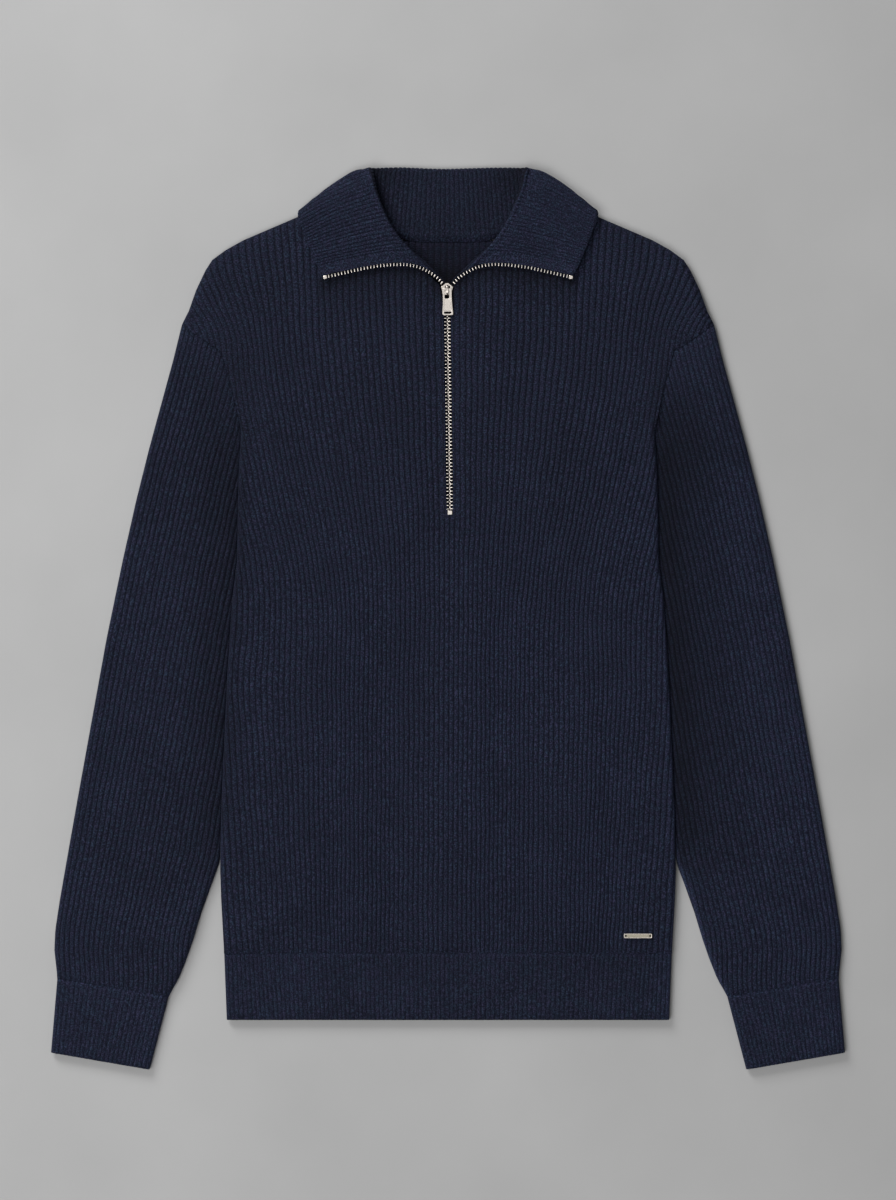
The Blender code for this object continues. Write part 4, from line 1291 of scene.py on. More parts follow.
@dataclass
class Sleeves:
    """The two sleeves and their cuffs."""

    finishes: Finishes
    ribs: int = 31
    height: float = 7.6
    dip: float = 2.2
    hollow: float = 1.2
    dip_width: float = 38.0
    edges: tuple[float, float] = (3.8, 2.8)
    edge_rounds: tuple[float, float] = (6.0, 4.5)
    row_step: float = 4.6
    line_points: int = 61
    cuff_ribs: int = 24
    cuff_height: float = 6.9
    cuff_seam: tuple = ((332.3, -305.6), (237.5, -320.9))
    cuff_end: tuple = ((337.7, -368.8), (253.7, -383.2))
    painted_light: tuple[SleevePaintedLight, SleevePaintedLight] = (
        SleevePaintedLight(level=0.97, hollow=0.34, cuff=1.02),
        SleevePaintedLight(level=1.09, hollow=0.52, broad=0.18, outside=0.08, edge=0.7, cuff=1.1),
    )

    def top(self, x: np.ndarray, y: np.ndarray) -> np.ndarray:
        """Height of a sleeve between its ribs.

        Args:
            x: the points' x.
            y: the points' y.

        Returns:
            The height at each point.
        """
        paths = (OUTSIDE_FOLD, INSIDE_EDGE, ARMHOLE)
        out, inside, arm = [path_distance(x, y, path) for path in paths]
        beside = ease((y + 235.0) / 60.0)
        dip = self.dip * beside * (1.0 - ease(inside / self.dip_width))
        full = self.height - dip + unevenness(x, y, 0.35)
        full = full - self.hollow * beside * (1.0 - ease(inside / 11.0))
        full = full - 0.15 * (1.0 - ease(arm / 3.5)) - self.creases(x, y)
        outer, inner = [
            edge + (full - edge) * rounded(distance, radius)
            for edge, distance, radius in zip(self.edges, (out, inside), self.edge_rounds)
        ]
        return np.where(out < inside, outer, inner)

    def creases(self, x: np.ndarray, y: np.ndarray) -> np.ndarray:
        """Depth of the soft creases above the cuff and under the arm.

        Args:
            x: the points' x.
            y: the points' y.

        Returns:
            The depth at each point.
        """
        cuff = -300.0 - (330.0 - x) * 0.16
        gather = 0.5 * bell(y - cuff - 10.0, 9.0) * np.sin(x / 5.2) ** 2
        arm = 0.7 * bell(x - 190.0 - (150.0 - y) * 0.10, 9.0) * ease((y - 20.0) / 60.0)
        return gather + arm * ease((165.0 - y) / 30.0)

    def tone(self, side: int, x: np.ndarray, y: np.ndarray, y_outer: float) -> np.ndarray:
        """Painted light and shade on a sleeve along one line across it.

        Args:
            side: side of the garment.
            x: the line's x.
            y: the line's y.
            y_outer: where the line starts on the outer fold.

        Returns:
            The painted light at each point, as a factor on the colour.
        """
        look = self.painted_light[side > 0]
        inside = path_distance(x, y, INSIDE_EDGE)
        beside = ease((y + 235.0) / 60.0)
        level = (1.0 - 0.1 * float(ease((y_outer - 60.0) / 100.0))) * look.level
        changes = (
            -look.hollow * beside * ease((190.0 - y) / 60.0) * bell(inside, 26.0),
            -look.broad * beside * ease((205.0 - y) / 50.0) * bell(inside, 58.0, 4),
            -0.12 * spot(x, y, SLEEVE_SHADE),
            # painted light along the linked seam above the cuff
            0.25 * float(ease((-303.5 - y_outer) / 3.0)),
            look.edge * bell(inside, 2.5),
        )
        lit = level + look.outside * ease((inside - 40.0) / 40.0)
        return lit * math.prod(1.0 + change for change in changes)

    def line(self, y_outer: float, y_inner: float, bend: float) -> np.ndarray:
        """Points in the plane across a sleeve, from the outer fold to the inner edge.

        Args:
            y_outer: where the line starts on the outer fold.
            y_inner: where it ends on the inner edge.
            bend: share of the armhole's bend.

        Returns:
            The points.
        """
        t = np.linspace(0.0, 1.0, self.line_points)
        start = np.array((float(read(SLEEVE_OUTER, y_outer)), y_outer))
        end = np.array((float(read(SLEEVE_INNER, y_inner)), y_inner))
        arm = np.array(ARMHOLE) + np.array((-0.25, 0.2))
        seam = sample(t, shares(arm), arm)
        if bend == 1.0:
            return seam
        curve = seam - (seam[0] + (seam[-1] - seam[0]) * t[:, None])
        return start + (end - start) * t[:, None] + bend * curve

    def station(self, side: int, y_outer: float, y_inner: float, bend: float) -> Station:
        """One line across a sleeve.

        Args:
            side: side of the garment.
            y_outer: where it starts on the outer fold.
            y_inner: where it ends on the inner edge.
            bend: share of the armhole's bend.

        Returns:
            The station.
        """
        line = self.line(y_outer, y_inner, bend)
        ribs = (read(SLEEVE_OUTER, line[:, 1]) - line[:, 0]) / read(SLEEVE_PITCH, line[:, 1])
        ribs = np.maximum.accumulate(ribs) + np.arange(len(ribs)) * 1e-6
        ribs -= ribs[0]
        columns = rib_columns(self.ribs)
        wanted = np.minimum(columns, ribs[-1])
        wanted[-1] = ribs[-1]
        room = ease(wanted / 2.0) * ease((ribs[-1] - wanted) / 2.0)
        x, y = sample(wanted + waver(columns, y_outer, 0.06) * room, ribs, line).T
        shown = ease((wanted + 0.2) / 0.8) * sewn((y_outer + 306.0) / 4.0)
        soft = 1.0 - 0.35 * (1.0 - ease(path_distance(x, y, ARMHOLE) / ARMHOLE_SOFT))
        z = self.top(x, y) + relief(wanted) * shown * soft
        top = np.stack([x, y, z], axis=1)
        return Station(top, wanted, -0.5 * (y_outer + y_inner), self.tone(side, x, y, y_outer))

    def sleeve(self, side: int) -> bpy.types.Object:
        """Build one sleeve.

        Args:
            side: -1 left, 1 right.

        Returns:
            The new object.
        """
        rows = []
        for first, second in zip(SLEEVE_ROWS[:-1], SLEEVE_ROWS[1:]):
            count = max(2, round((first[0] - second[0]) / self.row_step))
            for t in np.arange(count) / count:
                rows.append(tuple(a + (b - a) * t for a, b in zip(first, second)))
        stations = [self.station(side, *row) for row in rows + [SLEEVE_ROWS[-1]]]
        word = SIDES[side]
        tube = Tube(f"sleeve_{word}_knit", f"sleeve_{word}", self.finishes.of(Finish.RIB_KNIT), self.edges)
        made = stand_for(tube.build(stations, side), tube.node)
        return made

    def cuff(self, side: int) -> bpy.types.Object:
        """Build one cuff.

        Args:
            side: -1 left, 1 right.

        Returns:
            The new object.
        """
        columns = rib_columns(self.cuff_ribs)
        share = columns / columns[-1]
        seam, end = np.array(self.cuff_seam), np.array(self.cuff_end)
        stations = []
        for t in band_places(12):
            outer, inner = seam + (end - seam) * t
            place = outer + (inner - outer) * share[:, None]
            near = np.minimum(share, 1.0 - share) * float(np.linalg.norm(inner - outer))
            full = self.cuff_height + unevenness(place[:, 0], place[:, 1], 0.2)
            full = full + 0.5 * (1.0 - ease(t / 0.2)) - 0.9 * ease((t - 0.97) / 0.03)
            z = band_top(full, near, columns, sewn(t / 0.06))
            # painted light on the cuff, more along its linked seam
            level = self.painted_light[side > 0].cuff * (1.0 + 0.25 * (t < SEAM_SHARE))
            length = float(np.linalg.norm(outer - seam[0]))
            tone = np.full(len(columns), level)
            stations.append(Station(np.column_stack([place, z]), columns, length, tone))
        word = SIDES[side]
        tube = Tube(f"cuff_{word}_knit", f"cuff_{word}", self.finishes.of(Finish.BAND_KNIT))
        made = stand_for(tube.build(stations, side), tube.node)
        return made


@dataclass
class HemBand:
    """The wide ribbed band round the bottom."""

    finishes: Finishes
    ribs: int = 100
    height: float = 6.8
    y_low: float = -341.0
    half_top: float = 190.4
    half_low: float = 188.2
    # the band is drawn this much darker than its knit's colour
    tone: float = 0.94

    def build(self) -> bpy.types.Object:
        """Build the band."""
        columns = rib_columns(self.ribs)
        share = columns / columns[-1]
        # painted light on the band's right end, whose edge turns away from the lamps
        lit_end = 1.0 + 0.45 * bell(share * 2.0 * self.half_top, 4.0)
        stations = []
        for t in band_places(10):
            y = HEM_SEAM + (self.y_low - HEM_SEAM) * t
            half = self.half_top + (self.half_low - self.half_top) * t
            # the ribs lie a little wider apart on one side and fan out towards the body
            spread = share + 0.016 * np.sin(math.pi * share) ** 2
            x = half - 2.0 * half * spread
            x = x * (1.0 + 0.012 * (1.0 - t) * ease((half - np.abs(x)) / 40.0))
            nearer = np.minimum(share, 1.0 - share)
            x = x + waver(columns, y, 0.12) * ease(nearer * 40.0)
            full = self.height + unevenness(x, y, 0.22) + 0.7 * (1.0 - ease(t / 0.25))
            full = full - 0.9 * ease((t - 0.97) / 0.03)
            z = band_top(full, nearer * 2.0 * half, columns, sewn(t / 0.05))
            # painted light along the linked seam
            level = self.tone * (1.0 + 0.2 * (t < SEAM_SHARE))
            stations.append(Station(level_row(x, y, z), columns, -y, level * lit_end))
        tube = Tube("hem", "hem_band", self.finishes.of(Finish.BAND_KNIT))
        made = stand_for(tube.build(stations, 1), tube.node)
        return made


@dataclass
class Collar:
    """Stand and fall in one ribbed strip, turned down round the neck."""

    finishes: Finishes
    ribs: int = 87
    bead: float = 0.4
    wall: float = 2.3
    relief: float = 0.5
    groove: float = 0.2
    roll_radius: float = 1.75
    roll_place: float = 0.375       # share of the strip, from the neck seam, at which it rolls over
    bulge: float = 0.4
    edge_share: float = 0.10
    edge_places: tuple = (0.0, 0.05, 0.103, 0.16, 0.22, 0.326, 0.466, 0.73, 1.0)
    edge_gap: float = 2.0
    fine: int = 40
    lining_steps: tuple[int, int] = (6, 2)

    def value(self, u: float, index: int) -> np.ndarray:
        """Read a column of the collar's table smoothly.

        Args:
            u: share of the collar's half, from the zip.
            index: the column.

        Returns:
            The value there.
        """
        us = np.array([row[0] for row in COLLAR_SECTIONS])
        values = np.array([row[index] for row in COLLAR_SECTIONS], dtype=float)
        if values.ndim == 1:
            values = values[:, None]
        slopes = np.gradient(values, us, axis=0)
        # at the centre back, both halves meet without a kink
        slopes[-1] = (0.0,) if values.shape[1] == 1 else (slopes[-1][0], 0.0, 0.0)
        return hermite(us, values, np.array([u]), slopes)[0]

    def front_edge(self) -> np.ndarray:
        """The edge beside the open row of teeth, at the section's nine places."""
        row = np.array(ZIP_ROW)
        ahead = np.gradient(row[:, :2], axis=0)
        ahead /= np.linalg.norm(ahead, axis=1, keepdims=True)
        edge = row.copy()
        edge[:, 0] -= self.edge_gap * ahead[:, 1]
        edge[:, 1] += self.edge_gap * ahead[:, 0]
        return sample(self.edge_places, shares(edge), edge)

    def section(self, q: float, edge_line: np.ndarray) -> np.ndarray:
        """Middle line of the wall at q, from -1 (left front edge) by 0 (centre back) to 1.

        Args:
            q: place round the collar.
            edge_line: the edge beside the open row of teeth.

        Returns:
            The nine points of the line.
        """
        u = 1.0 - abs(q)
        seam, fold, near, fall, edge = [self.value(u, i) for i in (1, 2, 4, 5, 6)]
        angle = math.radians(float(self.value(u, 3)[0]))
        inward = seam - fall
        inward[2] = 0.0
        turned = float(ease((u - 0.6) / 0.2))
        inward = inward * (1.0 - turned) + np.array((0.0, -30.0, 0.0)) * turned
        inward = inward / np.linalg.norm(inward)
        up = np.array((0.0, 0.0, 1.0))
        out = math.cos(angle) * inward + math.sin(angle) * up
        turn = -math.sin(angle) * inward + math.cos(angle) * up
        middle = fold - self.roll_radius * out
        before, after = middle - self.roll_radius * turn, middle + self.roll_radius * turn
        rise = 0.5 * (seam + before) + 0.6 * up
        points = [seam, rise, before, fold, after, 0.5 * (after + near) + self.bulge * up, near, fall, edge]
        straight = float(ease(u / self.edge_share))
        line = np.array(points) * straight + edge_line * (1.0 - straight)
        line[:, 0] *= -1.0 if q < 0 else 1.0
        return line

    def sheet(self, columns: np.ndarray, places: np.ndarray) -> np.ndarray:
        """Middle sheet of the wall.

        Args:
            columns: rib numbers of the lines from the neck seam to the free edge.
            places: shares of the strip, from the neck seam, of the points on each line.

        Returns:
            The points, in one row for each column.
        """
        edge_line = self.front_edge()
        finely = np.linspace(-1.0, 1.0, 801)
        marks = np.linspace(0.0, 1.0, len(self.edge_places))
        strips = np.array([hermite(marks, self.section(q, edge_line), places) for q in finely])
        from_edge = np.minimum(columns, self.ribs - columns)
        at_roll, at_seam = [read(table, from_edge) for table in (RIBS_AT_ROLL, RIBS_AT_SEAM)]
        lines = []
        for j, place in enumerate(places):
            down = float(np.clip(place / self.roll_place, 0.0, 1.0))
            u = at_seam * (1.0 - down) + at_roll * down
            q = np.where(columns < self.ribs / 2, u - 1.0, 1.0 - u)
            lines.append(sample(q, finely, strips[:, j]))
        return np.stack(lines, axis=1)

    def painted_light(self, columns: np.ndarray, places: np.ndarray) -> np.ndarray:
        """Painted light and shade on the collar: painted shade in the hollow under its roll and on the
        stand, painted light on the right fall and along the linked seam.

        Args:
            columns: rib numbers of the lines.
            places: shares of the strip along each line.

        Returns:
            The painted light at each point, as a factor on the colour, 1 for none.
        """
        u = read(RIBS_AT_ROLL, np.minimum(columns, self.ribs - columns))[:, None]
        side = ease((0.9 - u) / 0.2)
        hollow = bell(places - 0.33, 0.25) * (places < 0.345)
        inside = 0.76 + 0.24 * ease((places - 0.335) / 0.03)
        right = 1.0 + 0.1 * (columns > self.ribs / 2)[:, None] * (places > 0.36)[None, :]
        seam = bell(places, 0.02)
        return (1.0 - 0.6 * side * hollow[None, :]) * inside[None, :] * right + 0.2 * seam[None, :]

    def heights(self, columns: np.ndarray, places: np.ndarray, normal: np.ndarray) -> np.ndarray:
        """Height of the ribbed face over the middle sheet.

        Args:
            columns: rib numbers of the lines.
            places: shares of the strip along each line.
            normal: the sheet's direction at each point.

        Returns:
            The height at each point.
        """
        from_edge = np.minimum(columns, self.ribs - columns)[:, None]
        across = places[None, :]
        plain = ease((from_edge - 1.4 - 0.8 * across) / 1.2)
        rolled = 1.0 - 0.6 * bell(across - self.roll_place, 0.06)
        underneath = ease((normal[:, :, 2] + 0.5) / 0.4)
        ribs = ridge(columns)[:, None] * (self.relief + self.groove) - self.groove
        clear = ease(across / 0.05)
        crest = ribs * plain * underneath * rolled * clear + (self.bead - self.wall / 2) * (1.0 - clear)
        bend = 0.12 * np.sin(np.linspace(0, 26, self.fine + 1))[None, :] * np.sin(columns / 2.3)[:, None]
        return self.wall / 2 + crest + bend

    def build(self) -> bpy.types.Object:
        """Build the collar."""
        columns = rib_columns(self.ribs)
        places = 1.0 - np.linspace(1.0, 0.0, self.fine + 1) ** 1.15
        sheet = self.sheet(columns, places)
        normal = np.cross(np.gradient(sheet, columns, axis=0), np.gradient(sheet, axis=1))
        normal /= np.maximum(np.linalg.norm(normal, axis=2, keepdims=True), 1e-9)
        normal[[0, -1]] = (0.0, 0.0, 1.0)
        outer = sheet + normal * self.heights(columns, places, normal)[:, :, None]
        steps = np.linalg.norm(np.diff(sheet[len(columns) // 5], axis=0), axis=1)
        length = np.concatenate([[0.0], np.cumsum(steps)])
        uv = pair(columns[:, None], length[None, :])
        along, down = self.lining_steps
        lined = (slice(None, None, along), slice(None, None, down))
        shape = Shape()
        ids = shape.grid(outer, uv, tone=self.painted_light(columns, places))
        low = shape.grid((sheet - normal * self.wall / 2)[lined], uv[lined], flip=True)
        for end in (0, -1):
            shape.stitch(ids[end], low[end])
        for end in (0, -1):
            shape.stitch(ids[:, end], low[:, end])
        made = shape.build("collar_knit", self.finishes.of(Finish.COLLAR_KNIT))
        stand_for(made, "collar")
        return made


# ---------------------------------------------------------------- metal


def mirrored(half: Table, x: float, y: float = 0.0, lean: float = 0.0) -> Table:
    """Close an outline from its first half.

    Args:
        half: corners (x, y) of the half, from the middle line.
        x: where the middle line stands.
        y: where the corners' y start.
        lean: how far the middle line leans for each millimetre down.

    Returns:
        The corners of the whole outline.
    """
    first = [(x + px - py * lean, y + py) for px, py in half]
    return first + [(x - px - py * lean, y + py) for px, py in reversed(half)]


def round_box(x: float, y: float, width: float, height: float, corner: float, steps: int = 5) -> Table:
    """Corners of a rectangle with rounded corners.

    Args:
        x: middle of the rectangle.
        y: middle of the rectangle.
        width: its size along x.
        height: its size along y.
        corner: radius of its corners.
        steps: edges round each corner.

    Returns:
        The corners of its outline.
    """
    points = []
    for sx, sy, start in ((1, 1, 0.0), (-1, 1, 90.0), (-1, -1, 180.0), (1, -1, 270.0)):
        cx, cy = x + sx * (width / 2 - corner), y + sy * (height / 2 - corner)
        for i in range(steps + 1):
            angle = math.radians(start + 90.0 * i / steps)
            points.append((cx + corner * math.cos(angle), cy + corner * math.sin(angle)))
    return points


def polished(name: str, mesh: bpy.types.Mesh, sharp: float = 40.0) -> bpy.types.Object:
    """Make a smooth metal object from a mesh, with its sharp edges kept crisp.

    Args:
        name: the object's name.
        mesh: its mesh.
        sharp: angle in degrees beyond which an edge stays crisp.

    Returns:
        The new object.
    """
    mesh.shade_smooth()
    mesh.set_sharp_from_angle(angle=math.radians(sharp))
    return new_object(name, mesh)


@dataclass(frozen=True)
class Tooth:
    """One tooth of the zip, or one head of it, by its size in millimetres."""

    length: float
    width: float
    height: float


@dataclass
class Hardware:
    """The zip's metal and the bar near the hem."""

    finishes: Finishes
    # the teeth of this size lie 2.3 mm apart; they are drawn a little coarser, so that each one shows
    tooth_pitch: float = 3.0
    row_pitch: float = 2.75
    chain_low: float = 92.8
    chain_top: float = 270.4
    chain_tooth: Tooth = Tooth(2.5, 0.95, 2.6)
    chain_head: Tooth = Tooth(0.8, 1.5, 2.3)
    row_tooth: Tooth = Tooth(2.7, 1.0, 2.1)
    tooth_taper: tuple[float, float] = (0.72, 0.86)             # width and height of a tooth's tip
    axis: tuple[float, float, float] = (-0.82, 280.0, 9.1)      # middle of the tab's hinge
    tab_lean: float = 0.03          # the tab hangs in line with the chain, which leans a little
    stop_place: float = 90.2

    def tooth(self) -> tuple[np.ndarray, list[list[int]]]:
        """One tooth from its foot at the tape (x 0) to its tip (x 1), unit width and height, softened."""
        work = bmesh.new()
        bmesh.ops.create_cube(work, size=1.0)
        for vert in work.verts:
            vert.co.x += 0.5
            if vert.co.x > 0.5:
                vert.co.y *= self.tooth_taper[0]
                vert.co.z *= self.tooth_taper[1]
        rounding = {"offset": 0.13, "offset_type": "OFFSET", "segments": 2, "profile": 0.6}
        bmesh.ops.bevel(work, geom=list(work.edges), affect="EDGES", **rounding)
        work.verts.index_update()
        points = np.array([vert.co[:] for vert in work.verts])
        faces = [[vert.index for vert in face.verts] for face in work.faces]
        work.free()
        return points, faces

    def place_teeth(self, name: str, node: str, places: list[tuple]) -> None:
        """Set teeth along a zip.

        Args:
            name: name of the new piece.
            node: the solid that it stands for.
            places: foot, direction and size of each tooth.
        """
        points, faces = self.tooth()
        every, joined = [], []
        for number, (foot, along, size) in enumerate(places):
            along = np.array(along) / np.linalg.norm(along)
            side = np.cross((0.0, 0.0, 1.0), along)
            side /= np.linalg.norm(side)
            axes = (along, side, np.cross(along, side))
            sizes = (size.length, size.width, size.height)
            turned = sum(points[:, i : i + 1] * sizes[i] * axes[i] for i in range(3))
            every.append(turned + np.array(foot))
            joined.extend([[corner + number * len(points) for corner in face] for face in faces])
        mesh = bpy.data.meshes.new(name)
        mesh.from_pydata((np.concatenate(every) * MM).tolist(), [], joined)
        mesh.materials.append(self.finishes.of(Finish.NICKEL))
        stand_for(polished(name, mesh, 50.0), node)

    def chain(self) -> None:
        """The closed chain, whose teeth mesh from both sides."""
        places = []
        for k in range(int((self.chain_top - self.chain_low) / self.tooth_pitch)):
            y = self.chain_low + 0.7 + k * self.tooth_pitch
            x = float(read(ZIP_LINE, y))
            for sign in (-1.0, 1.0):
                here = y + 0.12 * sign
                head = here + 0.5 * self.tooth_pitch
                inwards = (-sign, 0.0, 0.0)
                places.append(((x + sign * 2.6, here, 6.1), inwards, self.chain_tooth))
                places.append(((x + sign * 0.45, head, 6.0), inwards, self.chain_head))
        self.place_teeth("zip_teeth_closed", "zip_chain", places)

    def rows(self) -> None:
        """The open rows of teeth along the collar's front edges."""
        row = np.array(ZIP_ROW[:-1])
        length = np.linalg.norm(np.diff(row, axis=0), axis=1).sum()
        count = int(length / self.row_pitch)
        line = hermite(shares(row), row, (np.arange(count) + 0.5) / count)
        ahead = np.gradient(line, axis=0)
        for side, word in SIDES.items():
            mirror = np.array((float(side), 1.0, 1.0))
            places = []
            for point, step in zip(line, ahead):
                away = np.array((step[1], -step[0], 0.0))
                away /= np.linalg.norm(away)
                places.append(((point - away * 1.45) * mirror, away * mirror, self.row_tooth))
            self.place_teeth(f"zip_teeth_{word}", f"zip_row_{word}", places)

    def plate(
        self,
        name: str,
        loops: list[Table],
        z_low: float,
        z_high: float,
        soften: float,
    ) -> bpy.types.Object:
        """A flat metal plate with softened edges.

        Args:
            name: the object's name.
            loops: outline and holes, as corners (x, y).
            z_low: height of its underside.
            z_high: height of its top.
            soften: size of the rounding of its edges.

        Returns:
            The new object.
        """
        curve = bpy.data.curves.new(name, "CURVE")
        curve.dimensions = "2D"
        curve.fill_mode = "BOTH"
        curve.extrude = ((z_high - z_low) / 2 - soften) * MM
        curve.bevel_depth = soften * MM
        curve.bevel_resolution = 2
        curve.offset = -soften * MM
        for loop in loops:
            spline = curve.splines.new("POLY")
            spline.points.add(len(loop) - 1)
            for point, (x, y) in zip(spline.points, loop):
                point.co = (x * MM, y * MM, 0.0, 1.0)
            spline.use_cyclic_u = True
        drawn = new_object(f"{name}_outline", curve)
        graph = bpy.context.evaluated_depsgraph_get()
        mesh = bpy.data.meshes.new_from_object(drawn.evaluated_get(graph))
        bpy.data.objects.remove(drawn, do_unlink=True)
        bpy.data.curves.remove(curve)
        mesh.name = name
        for vert in mesh.vertices:
            vert.co.z += (z_low + z_high) / 2 * MM
        mesh.materials.clear()
        mesh.materials.append(self.finishes.of(Finish.NICKEL))
        return polished(name, mesh)

    def join(self, name: str, parts: list[bpy.types.Object]) -> bpy.types.Object:
        """Join plates into one piece.

        Args:
            name: the new piece's name.
            parts: the plates, which are used up.

        Returns:
            The new object.
        """
        work = bmesh.new()
        for part in parts:
            work.from_mesh(part.data)
            bpy.data.objects.remove(part, do_unlink=True)
        mesh = bpy.data.meshes.new(name)
        work.to_mesh(mesh)
        work.free()
        for finish in METAL_SLOTS:
            mesh.materials.append(self.finishes.of(finish))
        return polished(name, mesh)

    @staticmethod
    def refinish(plate: bpy.types.Object, finish: Finish) -> bpy.types.Object:
        """Give a plate that is about to be joined another of the metal's finishes.

        Args:
            plate: the plate.
            finish: the finish that it gets in the joined piece.

        Returns:
            The same plate.
        """
        for face in plate.data.polygons:
            face.material_index = METAL_SLOTS.index(finish)
        return plate

    def arch(self, x: float, y: float) -> bpy.types.Object:
        """The slider's arch: a flat hoop, stood upright along the chain.

        Args:
            x: middle of the slider.
            y: place of the hinge along the chain.

        Returns:
            The new object.
        """
        arch = self.plate("slider_arch", [SLIDER_ARCH], -0.85, 0.85, 0.22)
        for vert in arch.data.vertices:
            along, high, across = vert.co
            vert.co = Vector(((x + 0.35) * MM + across, y * MM + along, 7.95 * MM + high))
        arch.data.update()
        return arch

    def slider(self) -> None:
        """The slider's two plates, their flanges and the arch that holds the tab."""
        x, y, _ = self.axis
        outline = mirrored(SLIDER_OUTLINE, x)
        slits = [round_box(x - 1.2, 281.6, 1.4, 3.0, 0.6), round_box(x + 1.9, 281.4, 1.3, 2.8, 0.6)]
        # painted shade: a near-black plate under the slits, seen through them
        recess = self.plate("slider_recess_shade", [round_box(x, 281.0, 5.6, 4.0, 0.9)], 5.6, 6.5, 0.1)
        parts = [
            self.plate("slider_low", [outline], 3.8, 5.2, 0.4),
            self.plate("slider_top", [outline] + slits, 6.3, 7.7, 0.2),
            self.plate("slider_crown", [mirrored(SLIDER_CROWN, x)] + slits, 7.4, 8.1, 0.15),
            self.refinish(recess, Finish.PAINTED_SHADE),
            self.plate("slider_post", [round_box(x, 282.6, 2.4, 3.2, 0.9)], 4.8, 6.8, 0.1),
            self.arch(x, y),
        ]
        stand_for(self.join("slider", parts), "zip_slider")

    def tab(self) -> None:
        """The pull tab: a waisted plate with a raised rim, an eye and a slot."""
        x, y, z = self.axis
        outline, inset = [mirrored(half, x, y, self.tab_lean) for half in (TAB_OUTLINE, TAB_INSET)]
        eye = round_box(x - 0.1, y - 4.3, 3.8, 7.6, 1.1)
        slot_at = (x + 20.0 * self.tab_lean, y - 20.1)
        slot = round_box(*slot_at, 6.0, 1.7, 0.7)
        # painted shade: a near-black plate under the slot, seen through it
        under = self.plate("tab_slot_shade", [round_box(*slot_at, 6.6, 2.2, 0.7)], z - 0.5, z - 0.2, 0.05)
        parts = [
            self.plate("tab_plate", [outline, eye, slot], z - 0.5, z + 0.2, 0.15),
            self.plate("tab_rim", [outline, eye, slot, inset], z - 0.1, z + 0.62, 0.2),
            self.refinish(under, Finish.PAINTED_SHADE),
        ]
        stand_for(self.join("pull_tab_plate", parts), "zip_pull_tab", "pull_tab")

    def stops(self) -> None:
        """The bottom stop and the two top stops."""
        y = self.stop_place
        box = round_box(float(read(ZIP_LINE, y)), y, 4.3, 3.8, 0.9)
        bottom = self.plate("stop_bottom", [box], 4.5, 8.3, 0.5)
        stand_for(bottom, "zip_bottom_stop")
        start, end = np.array(ZIP_ROW[-2]), np.array(ZIP_ROW[-1])
        lean = math.atan2(end[1] - start[1], end[0] - start[0])
        middle = 0.5 * (start + end)
        cosine, sine = math.cos(lean), math.sin(lean)
        for side, word in SIDES.items():
            loop = []
            for px, py in round_box(0.0, 0.0, 3.6, 3.2, 1.0):
                x = middle[0] + px * cosine - py * sine
                loop.append((side * x, middle[1] + px * sine + py * cosine))
            made = self.plate(f"stop_{word}", [loop], middle[2] - 1.2, middle[2] + 1.3, 0.45)
            stand_for(made, f"zip_top_stop_{word}")

    def bar(self) -> None:
        """The bare metal bar near the hem: a rim, a sewing hole at each end and a near-black plate under
        it, as painted shade seen through the holes.
        """
        low, high = [np.array(corner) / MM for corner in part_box("metal_bar")]
        x, y = (low[0] + high[0]) / 2, (low[1] + high[1]) / 2
        holes = [round_box(x + dx, y, 1.6, 1.6, 0.75, 3) for dx in (-10.3, 10.3)]
        outline = round_box(x, y, 23.8, 3.9, 0.9)
        inset = round_box(x, y, 22.4, 2.5, 0.5)
        plate = self.plate("bar_plate", [outline] + holes, low[2], high[2] - 0.3, 0.15)
        under = self.plate("bar_hole_shade", [round_box(x, y, 23.0, 3.0, 0.5)], low[2], low[2] + 0.3, 0.05)
        parts = [
            self.refinish(plate, Finish.GREY_NICKEL),
            self.refinish(under, Finish.PAINTED_SHADE),
            self.plate("bar_rim", [outline, inset], high[2] - 0.5, high[2], 0.18),
        ]
        stand_for(self.join("bar_metal", parts), "metal_bar")

    def build(self) -> None:
        """Build every metal piece and dress the tapes."""
        self.chain()
        self.rows()
        self.slider()
        self.tab()
        self.stops()
        self.bar()
        for word in SIDES.values():
            tape = bpy.data.objects[f"zip_tape_{word}"]
            tape.data.materials.clear()
            tape.data.materials.append(self.finishes.of(Finish.ZIP_TAPE))


# ---------------------------------------------------------------- studio


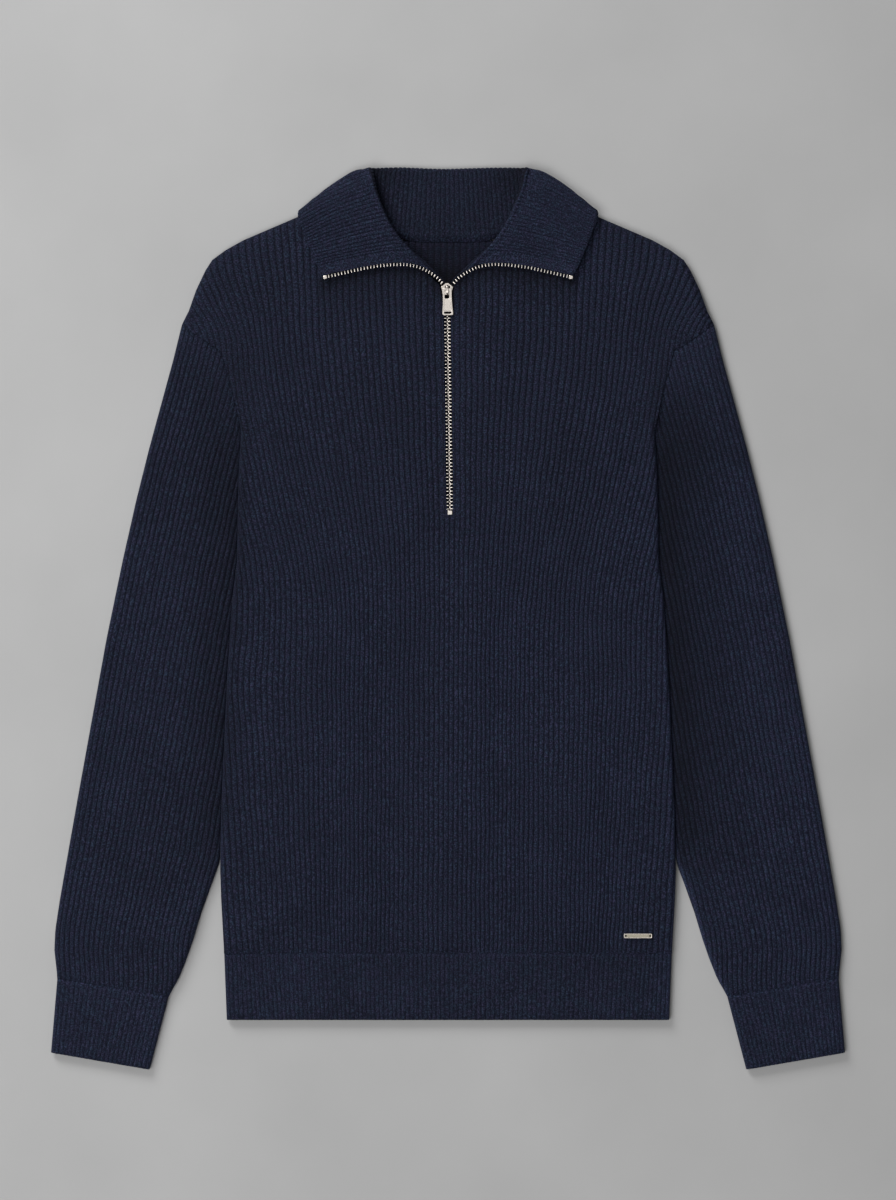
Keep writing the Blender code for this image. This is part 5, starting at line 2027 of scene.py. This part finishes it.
@dataclass
class Studio:
    """Floor, lights and camera."""

    floor_colour: str = "#b4b4b4"
    floor_half: float = 4.0
    floor_drop: float = 0.0004
    distance: float = 2.55
    frame_height: float = 1.02
    centre: tuple[float, float] = (0.0, 0.016)

    def floor(self) -> None:
        """A plain pale floor of smoothed mineral plaster."""
        made, tree, shader = start_material("floor_plaster")
        place = add_node(tree, "TexCoord").outputs["Object"]
        cloud = add_node(tree, "TexNoise", {"Vector": place, "Scale": 5.0, "Detail": 8.0})
        tone = add_node(tree, "MapRange", {0: cloud, 1: 0.3, 2: 0.7, 3: 0.95, 4: 1.05})
        plaster = {0: linear(self.floor_colour)[:3], 3: tone}
        colour = add_node(tree, "VectorMath", plaster, operation="SCALE")
        set_inputs(shader, {"Base Color": colour, "Roughness": 0.95, "Specular IOR Level": 0.15})
        mesh = bpy.data.meshes.new("floor")
        half = self.floor_half
        corners = [(-half, -half, 0), (half, -half, 0), (half, half, 0), (-half, half, 0)]
        mesh.from_pydata(corners, [], [(0, 1, 2, 3)])
        mesh.materials.append(made)
        ground = new_object("floor", mesh)
        ground.location.z = -self.floor_drop

    def light(self, name: str, place: tuple[float, float, float], size: float, power: float) -> None:
        """Add one soft square light that faces the middle of the floor.

        Args:
            name: the light's name.
            place: where it stands.
            size: length of its side.
            power: its power in watts.
        """
        lamp = bpy.data.lights.new(name, "AREA")
        lamp.shape = "SQUARE"
        lamp.size = size
        lamp.energy = power
        made = new_object(name, lamp)
        made.location = place
        made.rotation_euler = Vector(place).to_track_quat("Z", "Y").to_euler()

    def build(self) -> None:
        """Build the studio."""
        self.floor()
        self.light("window", (-1.46, 2.15, 1.63), 1.4, 64.0)
        self.light("softbox", (-0.94, -0.79, 2.15), 1.5, 30.0)
        # a wide, weak panel overhead, for the flat metal to mirror
        self.light("overhead", (0.0, 0.0, 3.2), 2.0, 10.0)
        world = bpy.data.worlds.new("studio")
        world.use_nodes = True
        set_inputs(world.node_tree.nodes["Background"], {0: (1.0, 1.0, 1.0, 1.0), 1: 0.14})
        scene = bpy.context.scene
        scene.world = world
        scene.view_settings.view_transform = "Standard"
        lens = bpy.data.cameras.new("camera")
        lens.sensor_fit = "VERTICAL"
        lens.sensor_height = 36.0
        lens.lens = lens.sensor_height * self.distance / self.frame_height
        camera = new_object("camera", lens)
        camera.location = (*self.centre, self.distance + 0.006)
        scene.camera = camera


def main() -> None:
    """Build every piece of the sweater and its studio."""
    logging.basicConfig(level=logging.INFO, format="%(message)s")
    Studio().build()
    finishes = Finishes()
    finishes.build()
    body = Body(finishes)
    body.back()
    body.front()
    LOG.info("body: front and back")
    sleeves = Sleeves(finishes)
    for side in SIDES:
        sleeves.sleeve(side)
        sleeves.cuff(side)
    LOG.info("sleeves and cuffs")
    HemBand(finishes).build()
    LOG.info("hem band")
    Collar(finishes).build()
    LOG.info("collar")
    Hardware(finishes).build()
    LOG.info("zip and metal bar")


if __name__ == "__main__":
    main()
